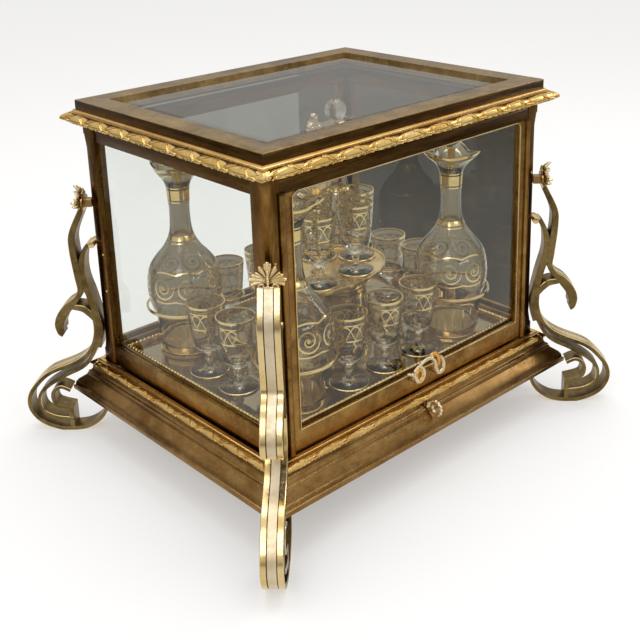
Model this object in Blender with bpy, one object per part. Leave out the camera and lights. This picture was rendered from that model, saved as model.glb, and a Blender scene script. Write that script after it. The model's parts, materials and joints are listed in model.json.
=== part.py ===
"""Liqueur cabinet: a glazed bronze case on four scroll legs, with a lift-out carrier of glassware."""

import math

import bmesh
import bpy
from mathutils import Matrix, Vector

# Case: plan size and the storeys from the ground up, in metres
width = 0.340
depth = 0.2686
gap = 0.0003
plinth_lift = 0.042
plinth_height = 0.0255
base_moulding_height = 0.007
lower_rail_height = 0.0195
decanter_height = 0.186
room_over_decanter = 0.017
sight_height = decanter_height + room_over_decanter
upper_rail_height = 0.017
cornice_height = 0.0095
top_frame_height = 0.0105

# Plan size that the carrier and its glass keep pace with
plan_share_of_depth = 1.266
plan = min(width, plan_share_of_depth * depth)

# Plinth and mouldings
plinth_projection = 0.0212
plinth_wall = 0.003
plinth_flange = 0.025
plinth_profile_shares = (
    (1.0, 0.0), (1.0, 0.14), (0.93, 0.17), (0.90, 0.30), (0.80, 0.42), (0.64, 0.53), (0.51, 0.62),
    (0.48, 0.69), (0.45, 0.70), (0.45, 0.77), (0.36, 0.81), (0.30, 0.88), (0.28, 1.0),
)
base_laurel_projection = 0.0068
base_moulding_reach = 0.017
cornice_projection = 0.0095
cornice_reach = 0.026
laurel_steps = 6
floor_thickness = 0.003

# Corner posts
post_inset = 0.0035
post_face = 0.0185
post_wall = 0.005
post_hollow = 0.004
post_stop = 0.012
post_hollow_sides = 12

# Glazing channels and panes
pane = 0.003
rail_recess = 0.0005
channel_bead = 0.003
channel_floor = 0.0092
channel_lip = 0.0162
header_thickness = 0.006
header_clearance = 0.0013
header_cap = 0.0025
top_rail_face = 0.0228
top_ledge = 0.005
top_ledge_height = 0.0027
top_glass_thickness = 0.004
top_glass_edge = 0.0018
top_glass_bevel = 0.012

# Door, hung on hidden pins at the ends of its top rail
door_thickness = 0.007
door_stile = 0.0117
door_side = 0.0138
door_stop = 0.0037
door_corner_radius = 0.006
door_lip = 0.003
door_rebate = 0.004
pivot_radius = 0.0015
pivot_length = 0.0035
strip_width = 0.0061
strip_proud = 0.0025
strip_overhang = 0.002
strip_share_of_door = 0.965
round_sides = 12

# Handle on the door's lower rail
handle_reach = 0.0245
handle_height = 0.0235
handle_drop = 0.008
handle_stand_off = 0.0105
handle_wire = 0.0014
handle_boss = 0.0019
handle_spans = 15
handle_sides = 5
handle_left_shares = (
    (-1.0, 0.68), (-0.80, 0.60), (-0.58, 0.44), (-0.45, 0.18), (-0.24, 0.14), (-0.09, 0.34),
    (-0.14, 0.60), (-0.34, 0.76), (-0.56, 0.66), (-0.60, 0.40),
)
handle_right_shares = (
    (-0.50, 0.70), (-0.22, 0.84), (0.10, 0.92), (0.36, 0.84), (0.52, 0.62), (0.56, 0.36), (0.70, 0.12),
    (0.92, 0.16), (0.98, 0.44), (0.88, 0.68), (0.68, 0.82), (0.47, 1.0),
)

# Key, lock case and bolt
key_drop = 0.0033
key_radius = 0.0016
key_collar_radius = 0.0032
key_collar_length = 0.002
key_bow_radius = 0.005
key_bow_wire = 0.0013
key_bow_rise_share = 1.1
key_bow_steps = 12
key_bow_sides = 5
bit_reach = 0.0044
bit_half_thickness = 0.0008
bit_length = 0.003
lock_half_width = 0.014
lock_depth = 0.0190
lock_height = 0.0172
lock_wall = 0.002
bolt_half_width = 0.003
bolt_thickness = 0.0024
bolt_travel = 0.0045
bolt_tail = 0.0115
talon_start = 0.0026
talon_width = 0.003
talon_below_axis = 0.003
talon_thickness = 0.0013
keeper_clearance = 0.0009
keeper_wall = 0.0014
keeper_half_width = 0.005
keeper_flange = 0.0078
keeper_floor = 0.0007

# Scroll legs, in the plane of the case's diagonal
leg_width = 0.018
leg_reach = 0.075
leg_height = 0.231
leg_groove = 0.0007
leg_bar = 0.005
leg_roll = 0.0031
leg_roll_sides = 8
branch_a_spans = 14
branch_b_spans = 8
arch_spans = 3
outer_spans = 21
middle_spans = 10
inner_spans = 6
# Points are shares of the way out from the post and heights counted in storeys:
# ground 0, underside of the plinth 1, floor of the case 2, foot of the leaf 3
branch_a_shares = (
    (0.152, 3.0), (0.285, 2.853), (0.303, 2.744), (0.273, 2.572), (0.255, 2.482), (0.309, 2.435),
    (0.418, 2.393), (0.515, 2.329), (0.564, 2.259), (0.539, 2.195), (0.491, 2.173),
)
branch_a_thickness_shares = (0.28, 0.34, 0.37, 0.40, 0.30, 0.32, 0.48, 0.50, 0.48, 0.38, 0.10)
branch_b_shares = (
    (0.055, 2.776), (0.115, 2.725), (0.139, 2.642), (0.127, 2.553), (0.073, 2.444), (0.018, 2.304),
    (0.0, 2.208), (0.042, 2.099),
)
branch_b_thickness_shares = (0.20, 0.24, 0.36, 0.40, 0.38, 0.40, 0.46, 0.50)
arch_shares = ((0.062, 2.304), (0.115, 2.342), (0.200, 2.380), (0.330, 2.390))
arch_thickness_shares = (0.30, 0.34, 0.36, 0.30)
outer_shares = (
    (0.115, 2.304), (0.115, 2.201), (0.188, 2.093), (0.358, 2.016), (0.697, 1.708), (0.879, 1.308),
    (0.988, 0.905), (0.988, 0.548), (0.867, 0.214), (0.636, 0.014), (0.455, 0.0), (0.273, 0.071),
    (0.115, 0.286), (0.024, 0.595), (0.012, 1.0),
)
outer_thickness_shares = (
    0.22, 0.22, 0.22, 0.22, 0.22, 0.22, 0.22, 0.22, 0.22, 0.22, 0.22, 0.22, 0.21, 0.20, 0.20,
)
middle_shares = (
    (0.067, 2.12), (0.164, 2.019), (0.285, 1.785), (0.515, 1.492), (0.733, 1.138), (0.824, 0.857),
    (0.806, 0.571), (0.673, 0.405), (0.470, 0.350),
)
inner_shares = ((0.576, 1.231), (0.679, 1.092), (0.709, 0.857), (0.661, 0.643), (0.470, 0.524))
thin_thickness_share = 0.20
bar_shares = ((0.455, 0.04), (0.515, 0.60))

# Leaf at the top of each leg
leaf_height = 0.0165
leaf_half_width = 0.0135
leaf_base = 0.0055
leaf_thickness = 0.003
leaf_relief = 0.0025
leaf_lobes = 5
leaf_points_per_lobe = 4
leaf_stem = 0.004
leaf_notch_share = 0.30
leaf_spread = math.radians(112.5)
leaf_face_shares = (1.0, 0.94, 0.45)

# Carrier: tray, mirror, holders, platform and central handle
tray_margin = 0.0177
tray_front_margin = 0.0183
tray_height = 0.0179
tray_skirt = 0.002
tray_deck = 0.002
tray_deck_drop = 0.0072
gallery_width = 0.0045
gallery_shares = ((0.0, 0.0), (0.2, 0.75), (0.5, 1.0), (0.8, 0.75), (1.0, 0.0))
mirror_thickness = 0.0012
saucer_radius_share = 0.08235
saucer_radius = saucer_radius_share * plan
saucer_height = 0.0015
saucer_sides = 16
saucer_margin = 0.0032
decanter_x_share = 0.3
decanter_x = decanter_x_share * width
decanter_y = depth / 2 - tray_front_margin - gallery_width - gap - saucer_margin - saucer_radius
column_shares = (0.35294, 0.16381)
column_x = column_shares[0] * width
column_pitch = column_shares[1] * depth
row_shares = (0.13529, 0.32762)
row_pitch = row_shares[0] * width
row_y = row_shares[1] * depth
platform_height = 0.0710
platform_thickness = 0.003
platform_shares = (0.22353, 0.1936)
platform_half_x = platform_shares[0] * width
platform_half_y = platform_shares[1] * depth
platform_sides = 20
platform_rim = 0.0015
platform_rim_width = 0.002
pedestal_radius = 0.011
pedestal_shares = ((1.0, 0), (1.0, 0.04), (0.5, 0.12), (0.36, 0.3), (0.36, 0.7), (0.6, 0.9), (0.9, 1.0))
upper_pair_shares = (0.07059, 0.10052)
upper_pair_x = upper_pair_shares[0] * width
upper_pair_y = upper_pair_shares[1] * depth
upper_single_share = 0.15294
upper_single_x = upper_single_share * width
ring_inner_share = 0.10647
ring_inner = ring_inner_share * plan
ring_width = 0.0018
ring_height = 0.003
ring_lift = 0.045
ring_sides = 16
fork_inner_share = 0.04588
fork_inner = fork_inner_share * plan
fork_width = 0.0017
fork_lift = 0.0325
fork_thickness = 0.0015
fork_sides = 5
bar_width = 0.003
holder_post = 0.0045
holder_post_thickness = 0.0022
handle_column_share = 0.7688
handle_column = handle_column_share * decanter_height
handle_profile_shares = (
    (0.57, 0.0), (0.57, 0.010), (0.32, 0.030), (0.19, 0.060), (0.19, 0.40), (0.36, 0.415), (0.36, 0.43),
    (0.19, 0.445), (0.19, 0.475), (0.36, 0.49), (0.36, 0.505), (0.20, 0.525), (0.64, 0.565), (1.0, 0.61),
    (1.0, 0.645), (0.66, 0.68), (0.24, 0.70), (0.20, 0.91), (0.36, 0.94), (0.20, 0.97), (0.20, 1.0),
)
vase_radius = 0.014
trefoil_width = 0.018
trefoil_height = 0.020
trefoil_thickness = 0.005
trefoil_points = 18
trefoil_sink = 0.001
trefoil_waist_share = 0.44

# Glass: outer and inner profile as shares of the rim radius and of the height
glass_radius_share = 0.05294
glass_radius = glass_radius_share * plan
glass_height = 0.070
glass_sides = 10
glass_outer_shares = (
    (1.0, 0.0), (1.0, 0.015), (0.24, 0.075), (0.12, 0.14), (0.22, 0.19), (0.13, 0.24), (0.60, 0.35),
    (0.86, 0.58), (1.0, 1.0),
)
glass_inner_shares = ((0.95, 1.0), (0.80, 0.58), (0.52, 0.40))
glass_floor_share = 0.375

# Decanter and stopper, in the same manner
decanter_radius_share = 0.105
decanter_radius = decanter_radius_share * plan
decanter_sides = 12
decanter_outer_shares = (
    (0.73, 0.0), (0.76, 0.02), (0.81, 0.19), (0.93, 0.24), (1.0, 0.34), (0.92, 0.44), (0.56, 0.54),
    (0.34, 0.61), (0.26, 0.76), (0.32, 0.78), (0.32, 0.88), (0.56, 0.957), (0.70, 1.0),
)
decanter_inner_shares = (
    (0.65, 1.0), (0.27, 0.90), (0.182, 0.86), (0.182, 0.66), (0.84, 0.43), (0.93, 0.34), (0.72, 0.15),
    (0.69, 0.035),
)
decanter_floor_share = 0.03
lip_start_share = 0.93
lip_wave_share = 0.16
lip_lobes = 3
stopper_bottom_share = 0.79
plug_top_share = 0.86
plug_taper_share = 0.8
stopper_stem_shares = ((0.70, 0.88), (0.55, 0.96), (0.72, 1.0))
ball_radius = 0.0115
ball_rise = 0.0122
ball_rings = 5
stopper_sides = 10
bore_share = 0.182

# Levels that follow from the storeys
plinth_top = plinth_lift + plinth_height
case_floor = plinth_top + base_moulding_height
sight_low = case_floor + lower_rail_height
sight_high = sight_low + sight_height
cornice_level = sight_high + upper_rail_height
top_frame_level = cornice_level + cornice_height
total_height = top_frame_level + top_frame_height
half_width = width / 2
half_depth = depth / 2
post_x = half_width - post_inset
post_y = half_depth - post_inset
leg_foot_height = min(leg_height, cornice_level)
diagonal = math.sqrt(2)
smooth_angle = math.radians(40)

corners = (("fl", -1, -1), ("fr", 1, -1), ("bl", -1, 1), ("br", 1, 1))

# Door lines: front face, back face and hinge axis
door_front = -(post_y - gap)
door_back = door_front + door_thickness
door_axis_y = door_front + door_thickness / 2
door_axis_z = cornice_level - header_cap - 2 * gap - gap - door_thickness / 2
door_half = post_x - door_side
door_bottom = case_floor + gap
stop_front = door_back + gap
stop_back = stop_front + door_stop

# Pane and channel lines, measured from the case's centre
channel_x = post_x - post_wall - gap
channel_y = post_y - post_wall - gap
front_end = stop_back + gap

# Carrier levels
tray_bottom = plinth_top + gap + floor_thickness + gap
deck_top = tray_bottom + tray_height - tray_deck_drop
mirror_bottom = deck_top + gap
floor_level = mirror_bottom + mirror_thickness
tray_x = half_width - tray_margin
tray_y = half_depth - tray_front_margin
platform_top = floor_level + platform_height
saucer_top = floor_level + saucer_height

# Key lines
key_level = plinth_top - key_drop
plinth_face = half_depth + plinth_projection * plinth_profile_shares[-1][0]
lock_front = -(plinth_face - plinth_wall - gap)
lock_back = lock_front + lock_depth
lock_top = plinth_top - gap
bolt_front = door_back + keeper_clearance
bolt_back = bolt_front + bolt_thickness
bolt_top = case_floor - gap


def clear_scene():
    """Remove every object that the start scene holds."""
    for item in list(bpy.data.objects):
        bpy.data.objects.remove(item, do_unlink=True)


def finish(name, colour, roughness, metallic, alpha=1.0):
    """Return a Principled material."""
    material = bpy.data.materials.new(name)
    material.use_nodes = True
    shader = material.node_tree.nodes["Principled BSDF"]
    shader.inputs["Base Color"].default_value = (*colour, 1.0)
    shader.inputs["Roughness"].default_value = roughness
    shader.inputs["Metallic"].default_value = metallic
    shader.inputs["Alpha"].default_value = alpha
    return material


def loft(sections, closed_path=False):
    """Return a mesh whose skin runs through equal closed sections, capped unless the path closes."""
    work = bmesh.new()
    rings = [[work.verts.new(point) for point in section] for section in sections]
    count = len(rings[0])
    spans = len(rings) if closed_path else len(rings) - 1
    for span in range(spans):
        first, second = rings[span], rings[(span + 1) % len(rings)]
        for index in range(count):
            after = (index + 1) % count
            work.faces.new((first[index], first[after], second[after], second[index]))
    if not closed_path:
        work.faces.new(list(reversed(rings[0])))
        work.faces.new(rings[-1])
    return close_mesh(work)


def close_mesh(work):
    """Turn the faces outward and return the mesh."""
    bmesh.ops.recalc_face_normals(work, faces=work.faces)
    mesh = bpy.data.meshes.new("solid")
    work.to_mesh(mesh)
    work.free()
    return mesh


def prism(outline, along):
    """Extrude an outline of points by a vector."""
    return loft([outline, [tuple(Vector(point) + Vector(along)) for point in outline]])


def block(low, high):
    """Return a box between two corners."""
    (x0, y0, z0), (x1, y1, z1) = low, high
    return prism([(x0, y0, z0), (x1, y0, z0), (x1, y1, z0), (x0, y1, z0)], (0, 0, z1 - z0))


def rod(start, end, radius, sides):
    """Return a round bar between two points."""
    start, end = Vector(start), Vector(end)
    turn = (end - start).to_track_quat("Z", "Y")
    angles = [math.tau * index / sides for index in range(sides)]
    circle = [start + turn @ Vector((radius * math.cos(a), radius * math.sin(a), 0)) for a in angles]
    return prism([tuple(point) for point in circle], end - start)


def mitred_ring(half_x, half_y, profile):
    """Sweep a profile of (outward offset, height) round a rectangle with mitred corners."""
    signs = ((-1, -1), (1, -1), (1, 1), (-1, 1))
    sections = []
    for sign_x, sign_y in signs:
        sections.append([(sign_x * (half_x + out), sign_y * (half_y + out), z) for out, z in profile])
    return loft(sections, closed_path=True)


def turned(profile, sides, radius_at=None):
    """Turn a profile of (radius, height) about Z; it starts and ends on the axis."""
    work = bmesh.new()
    rings = []
    for radius, height in profile:
        if radius == 0:
            rings.append([work.verts.new((0, 0, height))])
            continue
        ring = []
        for index in range(sides):
            angle = math.tau * index / sides
            reach = radius_at(radius, height, angle) if radius_at else radius
            ring.append(work.verts.new((reach * math.cos(angle), reach * math.sin(angle), height)))
        rings.append(ring)
    for first, second in zip(rings, rings[1:]):
        for index in range(sides):
            after = (index + 1) % sides
            if len(first) == 1:
                work.faces.new((first[0], second[after], second[index]))
            elif len(second) == 1:
                work.faces.new((first[index], first[after], second[0]))
            else:
                work.faces.new((first[index], first[after], second[after], second[index]))
    return close_mesh(work)


def tube(points, radius, sides):
    """Sweep a round section along a run of points."""
    points = [Vector(point) for point in points]
    sections = []
    for index, point in enumerate(points):
        before = points[max(index - 1, 0)]
        after = points[min(index + 1, len(points) - 1)]
        along = (after - before).normalized()
        side = along.cross(Vector((0, 1, 0))).normalized()
        up = side.cross(along)
        angles = [math.tau * step / sides for step in range(sides)]
        sections.append([tuple(point + radius * (math.cos(a) * side + math.sin(a) * up)) for a in angles])
    return loft(sections)


def torus(centre, across, up, major_across, major_up, wire, steps, sides):
    """Return a ring of round wire, its plane set by two directions."""
    centre, across, up = Vector(centre), Vector(across), Vector(up)
    normal = across.cross(up)
    sections = []
    for step in range(steps):
        angle = math.tau * step / steps
        outward = (math.cos(angle) * across + math.sin(angle) * up).normalized()
        middle = centre + major_across * math.cos(angle) * across + major_up * math.sin(angle) * up
        section = []
        for side in range(sides):
            turn = math.tau * side / sides
            section.append(tuple(middle + wire * (math.cos(turn) * outward + math.sin(turn) * normal)))
        sections.append(section)
    return loft(sections, closed_path=True)


def combine(mesh, others, operation):
    """Join others to a mesh, or cut them from it, with exact Booleans."""
    scene = bpy.context.scene.collection
    base = bpy.data.objects.new("base", mesh)
    scene.objects.link(base)
    for other in others:
        tool = bpy.data.objects.new("tool", other)
        scene.objects.link(tool)
        modifier = base.modifiers.new("Boolean", "BOOLEAN")
        modifier.operation = operation
        modifier.solver = "EXACT"
        modifier.object = tool
        graph = bpy.context.evaluated_depsgraph_get()
        result = bpy.data.meshes.new_from_object(base.evaluated_get(graph))
        base.modifiers.clear()
        base.data = result
        bpy.data.objects.remove(tool)
    result = base.data
    bpy.data.objects.remove(base)
    return result


def union(mesh, *others):
    return combine(mesh, others, "UNION")


def cut(mesh, *cutters):
    return combine(mesh, cutters, "DIFFERENCE")


def moved(mesh, offset=(0, 0, 0), turn=0.0):
    """Return a copy of a mesh, turned about Z and then moved."""
    copy = mesh.copy()
    copy.transform(Matrix.Translation(Vector(offset)) @ Matrix.Rotation(turn, 4, "Z"))
    return copy


def piece(name, mesh, material, origin=(0, 0, 0), turn=0.0, smooth=False):
    """Place a mesh, given about its own origin, as a named object."""
    if smooth:
        mesh.shade_smooth()
        mesh.set_sharp_from_angle(angle=smooth_angle)
    if not mesh.materials:
        mesh.materials.append(material)
    item = bpy.data.objects.new(name, mesh)
    item.location = origin
    item.rotation_euler = (0, 0, turn)
    bpy.context.scene.collection.objects.link(item)
    return item


def about(mesh, origin):
    """Shift a mesh so that the given point becomes its origin."""
    mesh.transform(Matrix.Translation(-Vector(origin)))
    return mesh


def smooth_run(points, spans):
    """Return a Catmull-Rom curve through tuples of any length, in the given number of spans."""
    run = []
    last = len(points) - 1
    for step in range(spans):
        index, t = divmod(step * last / spans, 1)
        a, b, c, d = (points[min(max(int(index) + shift, 0), last)] for shift in (-1, 0, 1, 2))
        weights = (
            -t / 2 + t * t - t ** 3 / 2,
            1 - 5 * t * t / 2 + 3 * t ** 3 / 2,
            t / 2 + 2 * t * t - 3 * t ** 3 / 2,
            -t * t / 2 + t ** 3 / 2,
        )
        run.append(tuple(sum(w * p for w, p in zip(weights, group)) for group in zip(a, b, c, d)))
    run.append(tuple(points[-1]))
    return run


def laurel_profile(projection, reach, bottom, top):
    """Return a moulding's section: flat inside, a swelling band of laurel outside."""
    profile = [(-reach, top), (-reach, bottom)]
    for step in range(laurel_steps + 1):
        share = step / laurel_steps
        profile.append((projection * math.sin(math.pi * share), bottom + share * (top - bottom)))
    return profile


def base_plinth(bronze):
    """Moulded plinth, hollow inside, with flanges for the case above and the legs below."""
    outer = []
    for out, up in plinth_profile_shares:
        outer.append((plinth_projection * out, plinth_lift + plinth_height * up))
    inner_low = plinth_lift + plinth_wall
    inner_high = plinth_top - plinth_wall
    inner = [(-plinth_flange, plinth_top), (-plinth_flange, inner_high)]
    for out, z in reversed(outer):
        if inner_low + plinth_wall < z < inner_high - plinth_wall:
            inner.append((out - plinth_wall, z))
    inner.insert(2, (outer[-1][0] - plinth_wall, inner_high))
    inner.append((plinth_projection - plinth_wall, inner_low))
    inner += [(-plinth_flange, inner_low), (-plinth_flange, plinth_lift)]
    shell = mitred_ring(half_width, half_depth, outer + inner)
    notch_low = (-lock_half_width - gap, lock_front - gap, inner_high - plinth_wall)
    notch_high = (lock_half_width + gap, lock_back + gap, plinth_top + plinth_wall)
    bore_start = (0, lock_front + plinth_wall, key_level)
    bore_end = (0, -half_depth - plinth_projection, key_level)
    bore = rod(bore_start, bore_end, key_radius + gap, round_sides)
    piece("base_plinth", cut(shell, block(notch_low, notch_high), bore), bronze)


def mouldings(gold, bronze):
    """Laurel moulding under the case and laurel cornice over it."""
    base = mitred_ring(
        half_width, half_depth,
        laurel_profile(base_laurel_projection, base_moulding_reach, plinth_top + gap, case_floor),
    )
    slot_x = bolt_half_width + gap
    slot_low = (-slot_x, bolt_front - gap, plinth_top - plinth_wall)
    slot = block(slot_low, (slot_x, bolt_back + gap, case_floor + plinth_wall))
    piece("base_moulding", cut(base, slot), gold)
    cornice = laurel_profile(cornice_projection, cornice_reach, cornice_level + gap, top_frame_level)
    piece("cornice_moulding", mitred_ring(half_width, half_depth, cornice), gold)
    floor_x = half_width - base_moulding_reach - gap
    floor_y = half_depth - base_moulding_reach - gap
    low = (-floor_x, -floor_y, plinth_top + gap)
    high = (floor_x, floor_y, plinth_top + gap + floor_thickness)
    piece("floor_plate", block(low, high), bronze)


def post_outline(front):
    """Return the plan of a corner post for the corner at +X +Y, plain or rebated for the door."""
    side_leg = [(post_x, post_y), (post_x, post_y - post_face), (post_x - post_wall, post_y - post_face)]
    if not front:
        inner = (post_x - post_wall, post_y - post_wall)
        return side_leg + [inner, (post_x - post_face, post_y - post_wall), (post_x - post_face, post_y)]
    inner_leg = [(post_x - post_wall, -stop_back), (post_x - post_face, -stop_back)]
    return side_leg + inner_leg + [
        (post_x - post_face, -stop_front), (door_half + gap, -stop_front), (door_half + gap, post_y),
    ]


def corner_posts(bronze):
    """Four posts, hollow-chamfered between lamb's-tongue stops, the front pair bored for the pivots."""
    low = case_floor + gap
    for corner, sign_x, sign_y in corners:
        plan = [(sign_x * x, sign_y * y, low) for x, y in post_outline(sign_y < 0)]
        shaft = prism(plan, (0, 0, cornice_level - low))
        tip = post_hollow / post_stop
        spindle = [
            (0, low + post_stop), (post_hollow * tip, low + post_stop), (post_hollow, low + 2 * post_stop),
            (post_hollow, cornice_level - 2 * post_stop), (post_hollow * tip, cornice_level - post_stop),
            (0, cornice_level - post_stop),
        ]
        hollow = moved(turned(spindle, post_hollow_sides), (sign_x * post_x, sign_y * post_y, 0))
        cutters = [hollow]
        if sign_y < 0:
            bore_start = (sign_x * (door_half - gap), door_axis_y, door_axis_z)
            bore_end = (sign_x * (door_half + 2 * gap + pivot_length), door_axis_y, door_axis_z)
            cutters.append(rod(bore_start, bore_end, pivot_radius + gap, round_sides))
        piece("corner_post_" + corner, cut(shaft, *cutters), bronze)


def channel_run(outline):
    """Sweep a glazing channel round the left, back and right sides; outline is (inset, height)."""
    sections = []
    for sign_x, at_back in ((-1, False), (-1, True), (1, True), (1, False)):
        section = []
        for inset, z in outline:
            y = channel_y - inset if at_back else front_end
            section.append((sign_x * (channel_x - inset), y, z))
        sections.append(section)
    return loft(sections)


def rail_fronts(root, shelf, sight):
    """Return the rails' faces between the posts, each with a tongue into the glazing channel.

    The faces run from the root, on the case's floor or under its top, to the sight line, and the
    tongue ends at the channel's shelf.
    """
    tongue = pane / 2
    side_reach = post_y - post_face - gap
    back_reach = post_x - post_face - gap
    face = post_wall - rail_recess
    section = [(-tongue, root), (-tongue, shelf), (gap, shelf), (gap, sight), (face, sight), (face, root)]
    rails = []
    for sign in (-1, 1):
        plan = [(sign * (channel_x + out), -side_reach, z) for out, z in section]
        rails.append(prism(plan, (0, 2 * side_reach, 0)))
    plan = [(-back_reach, channel_y + out, z) for out, z in section]
    rails.append(prism(plan, (2 * back_reach, 0, 0)))
    return rails


def lower_frame(bronze):
    """Left, back and right lower rails with their glazing channel, soldered into one piece."""
    low = case_floor + gap
    bead = pane + 2 * gap
    outline = [
        (0, low), (0, low + channel_floor), (bead, low + channel_floor), (bead, low + channel_lip),
        (bead + channel_bead, low + channel_lip), (bead + channel_bead, low),
    ]
    rails = rail_fronts(low, low + channel_floor - gap, sight_low)
    piece("lower_frame", union(channel_run(outline), *rails), bronze)


def upper_frame(bronze):
    """Upper rails, with a set-back header over the door."""
    high = cornice_level
    bead = pane + 2 * gap
    lip = high - channel_lip + bead
    outline = [
        (0, high), (0, high - channel_floor), (bead, high - channel_floor), (bead, lip),
        (bead + channel_bead, lip), (bead + channel_bead, high),
    ]
    rails = rail_fronts(high, high - channel_floor + gap, sight_high)
    between = post_x - post_face - gap
    header_front = door_back + header_clearance
    header_back = header_front + header_thickness
    header = block((-between, header_front, sight_high), (between, header_back, high))
    tie_back = header_back + header_clearance
    tie_x = channel_x - gap
    tie = block((-tie_x, front_end, high - channel_floor + gap), (tie_x, tie_back, high - gap))
    cap = block((-between, door_front, high - header_cap), (between, header_back - header_clearance, high))
    piece("upper_frame", union(channel_run(outline), *rails, header, tie, cap), bronze)


def top_frame_and_glass(bronze, glass):
    """Flat mitred frame with a sunk ledge, and the bevelled plate that lies in it."""
    ledge = top_frame_level + gap + top_ledge_height
    arris = rail_recess
    low = top_frame_level + gap
    ledge_end = -top_rail_face - top_ledge
    profile = [
        (0, low), (0, total_height - arris), (-arris, total_height), (-top_rail_face, total_height),
        (-top_rail_face, ledge), (ledge_end, ledge), (ledge_end, low),
    ]
    piece("top_frame", mitred_ring(half_width, half_depth, profile), bronze)
    edge_x = half_width - top_rail_face - gap
    edge_y = half_depth - top_rail_face - gap
    low = ledge + gap
    sections = []
    for inset, z in ((0, low), (0, low + top_glass_edge), (top_glass_bevel, low + top_glass_thickness)):
        x, y = edge_x - inset, edge_y - inset
        sections.append([(-x, -y, z), (x, -y, z), (x, y, z), (-x, y, z)])
    piece("top_glass", loft(sections), glass)


def side_panes(glass):
    """Left, right and back panes, standing in the glazing channels."""
    low = case_floor + channel_floor + 2 * gap
    high = cornice_level - channel_floor - gap
    inner, outer = channel_x - pane, channel_x
    for name, sign in (("left_glass", -1), ("right_glass", 1)):
        x_low, x_high = sorted((sign * inner, sign * outer))
        piece(name, block((x_low, front_end, low), (x_high, channel_y, high)), glass)
    back_x = inner - gap
    piece("back_glass", block((-back_x, channel_y - pane, low), (back_x, channel_y, high)), glass)


def rounded_opening(half_x, low, high, radius, y):
    """Return the outline of the door's opening, its top corners rounded."""
    outline = [(-half_x, y, low), (half_x, y, low)]
    for centre_x, start in ((half_x - radius, 0.0), (radius - half_x, math.pi / 2)):
        for step in range(round_sides // 4 + 1):
            angle = start + math.pi / 2 * step / (round_sides // 4)
            x, z = radius * math.cos(angle), radius * math.sin(angle)
            outline.append((centre_x + x, y, high - radius + z))
    return outline


def cover_strip(sign):
    """Return a half-round strip that covers the joint between stile and post."""
    door_edge = sign * door_half
    outer = door_edge + sign * strip_overhang
    middle = outer - sign * strip_width / 2
    face = -post_y - gap
    base = door_front + door_lip / 2
    plan = []
    for step in range(round_sides // 2 + 1):
        angle = math.pi * step / (round_sides // 2)
        across = sign * strip_width / 2 * math.cos(angle)
        plan.append((middle + across, face - strip_proud * math.sin(angle)))
    back_edge = door_edge - sign * gap
    plan += [(outer - sign * strip_width, base), (back_edge, base), (back_edge, face)]
    low = door_bottom + gap
    return prism([(x, y, low) for x, y in plan], (0, 0, strip_share_of_door * (door_axis_z - door_bottom)))


def door(bronze, glass, gold):
    """Door hung at its top: frame with a round top edge, rebated pane, cover strips and handle."""
    origin = (0, door_axis_y, door_axis_z)
    radius = door_thickness / 2
    section = [(-door_half, door_front, door_bottom), (-door_half, door_back, door_bottom)]
    for step in range(round_sides // 2 + 1):
        angle = math.pi * step / (round_sides // 2)
        y = door_axis_y + radius * math.cos(angle)
        section.append((-door_half, y, door_axis_z + radius * math.sin(angle)))
    slab = prism(section, (2 * door_half, 0, 0))
    sight_x = door_half - door_stile
    sight = rounded_opening(sight_x, sight_low, sight_high, door_corner_radius, door_front - door_lip)
    sight_cut = prism(sight, (0, door_thickness + 2 * door_lip, 0))
    rebate_y = door_front + door_lip
    rebate_x = sight_x + door_rebate
    rebate_low, rebate_high = sight_low - door_rebate, sight_high + door_rebate
    rebate = block((-rebate_x, rebate_y, rebate_low), (rebate_x, door_back + door_lip, rebate_high))
    framed = cut(slab, sight_cut, rebate)
    additions = [cover_strip(-1), cover_strip(1)]
    for sign in (-1, 1):
        start = (sign * (door_half - pivot_length), door_axis_y, door_axis_z)
        end = (sign * (door_half + pivot_length), door_axis_y, door_axis_z)
        additions.append(rod(start, end, pivot_radius, round_sides))
    piece("door_frame", about(union(framed, *additions), origin), bronze, origin)
    low = (-rebate_x + gap, rebate_y + gap, rebate_low + gap)
    high = (rebate_x - gap, rebate_y + gap + pane, rebate_high - gap)
    piece("door_glass", about(block(low, high), origin), glass, origin)
    piece("door_handle", about(handle_scroll(), origin), gold, origin, smooth=True)
    piece("lock_keeper", about(keeper(), origin), bronze, origin)


def keeper():
    """Return the bent strap behind the lower rail: flange, shelf and the lip that the bolt rises behind."""
    root = door_back + gap
    shelf = bolt_top + bolt_travel + keeper_clearance
    lip_front = bolt_back + keeper_clearance
    lip_back = lip_front + keeper_wall
    outline = [
        (root, shelf), (lip_front, shelf), (lip_front, door_bottom + keeper_floor),
        (lip_back, door_bottom + keeper_floor), (lip_back, shelf + keeper_wall),
        (root + keeper_wall, shelf + keeper_wall), (root + keeper_wall, shelf + keeper_flange),
        (root, shelf + keeper_flange),
    ]
    section = [(-keeper_half_width, y, z) for y, z in outline]
    return prism(section, (2 * keeper_half_width, 0, 0))


def handle_scroll():
    """Return the whiplash scroll: two runs of wire and two stand-offs in front of the lower rail."""
    y = door_front - handle_stand_off + handle_wire
    foot = sight_low - handle_drop

    def place(shares):
        run = smooth_run(shares, handle_spans)
        return [(handle_reach * out, y, foot + handle_height * up) for out, up in run]

    left = tube(place(handle_left_shares), handle_wire, handle_sides)
    right = tube(place(handle_right_shares), handle_wire, handle_sides)
    bosses = []
    for out, up in (handle_left_shares[3], handle_right_shares[6]):
        centre = (handle_reach * out, foot + handle_height * up)
        start = (centre[0], y - handle_wire / 2, centre[1])
        bosses.append(rod(start, (centre[0], door_front - gap, centre[1]), handle_boss, round_sides))
    return union(left, right, *bosses)


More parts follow.
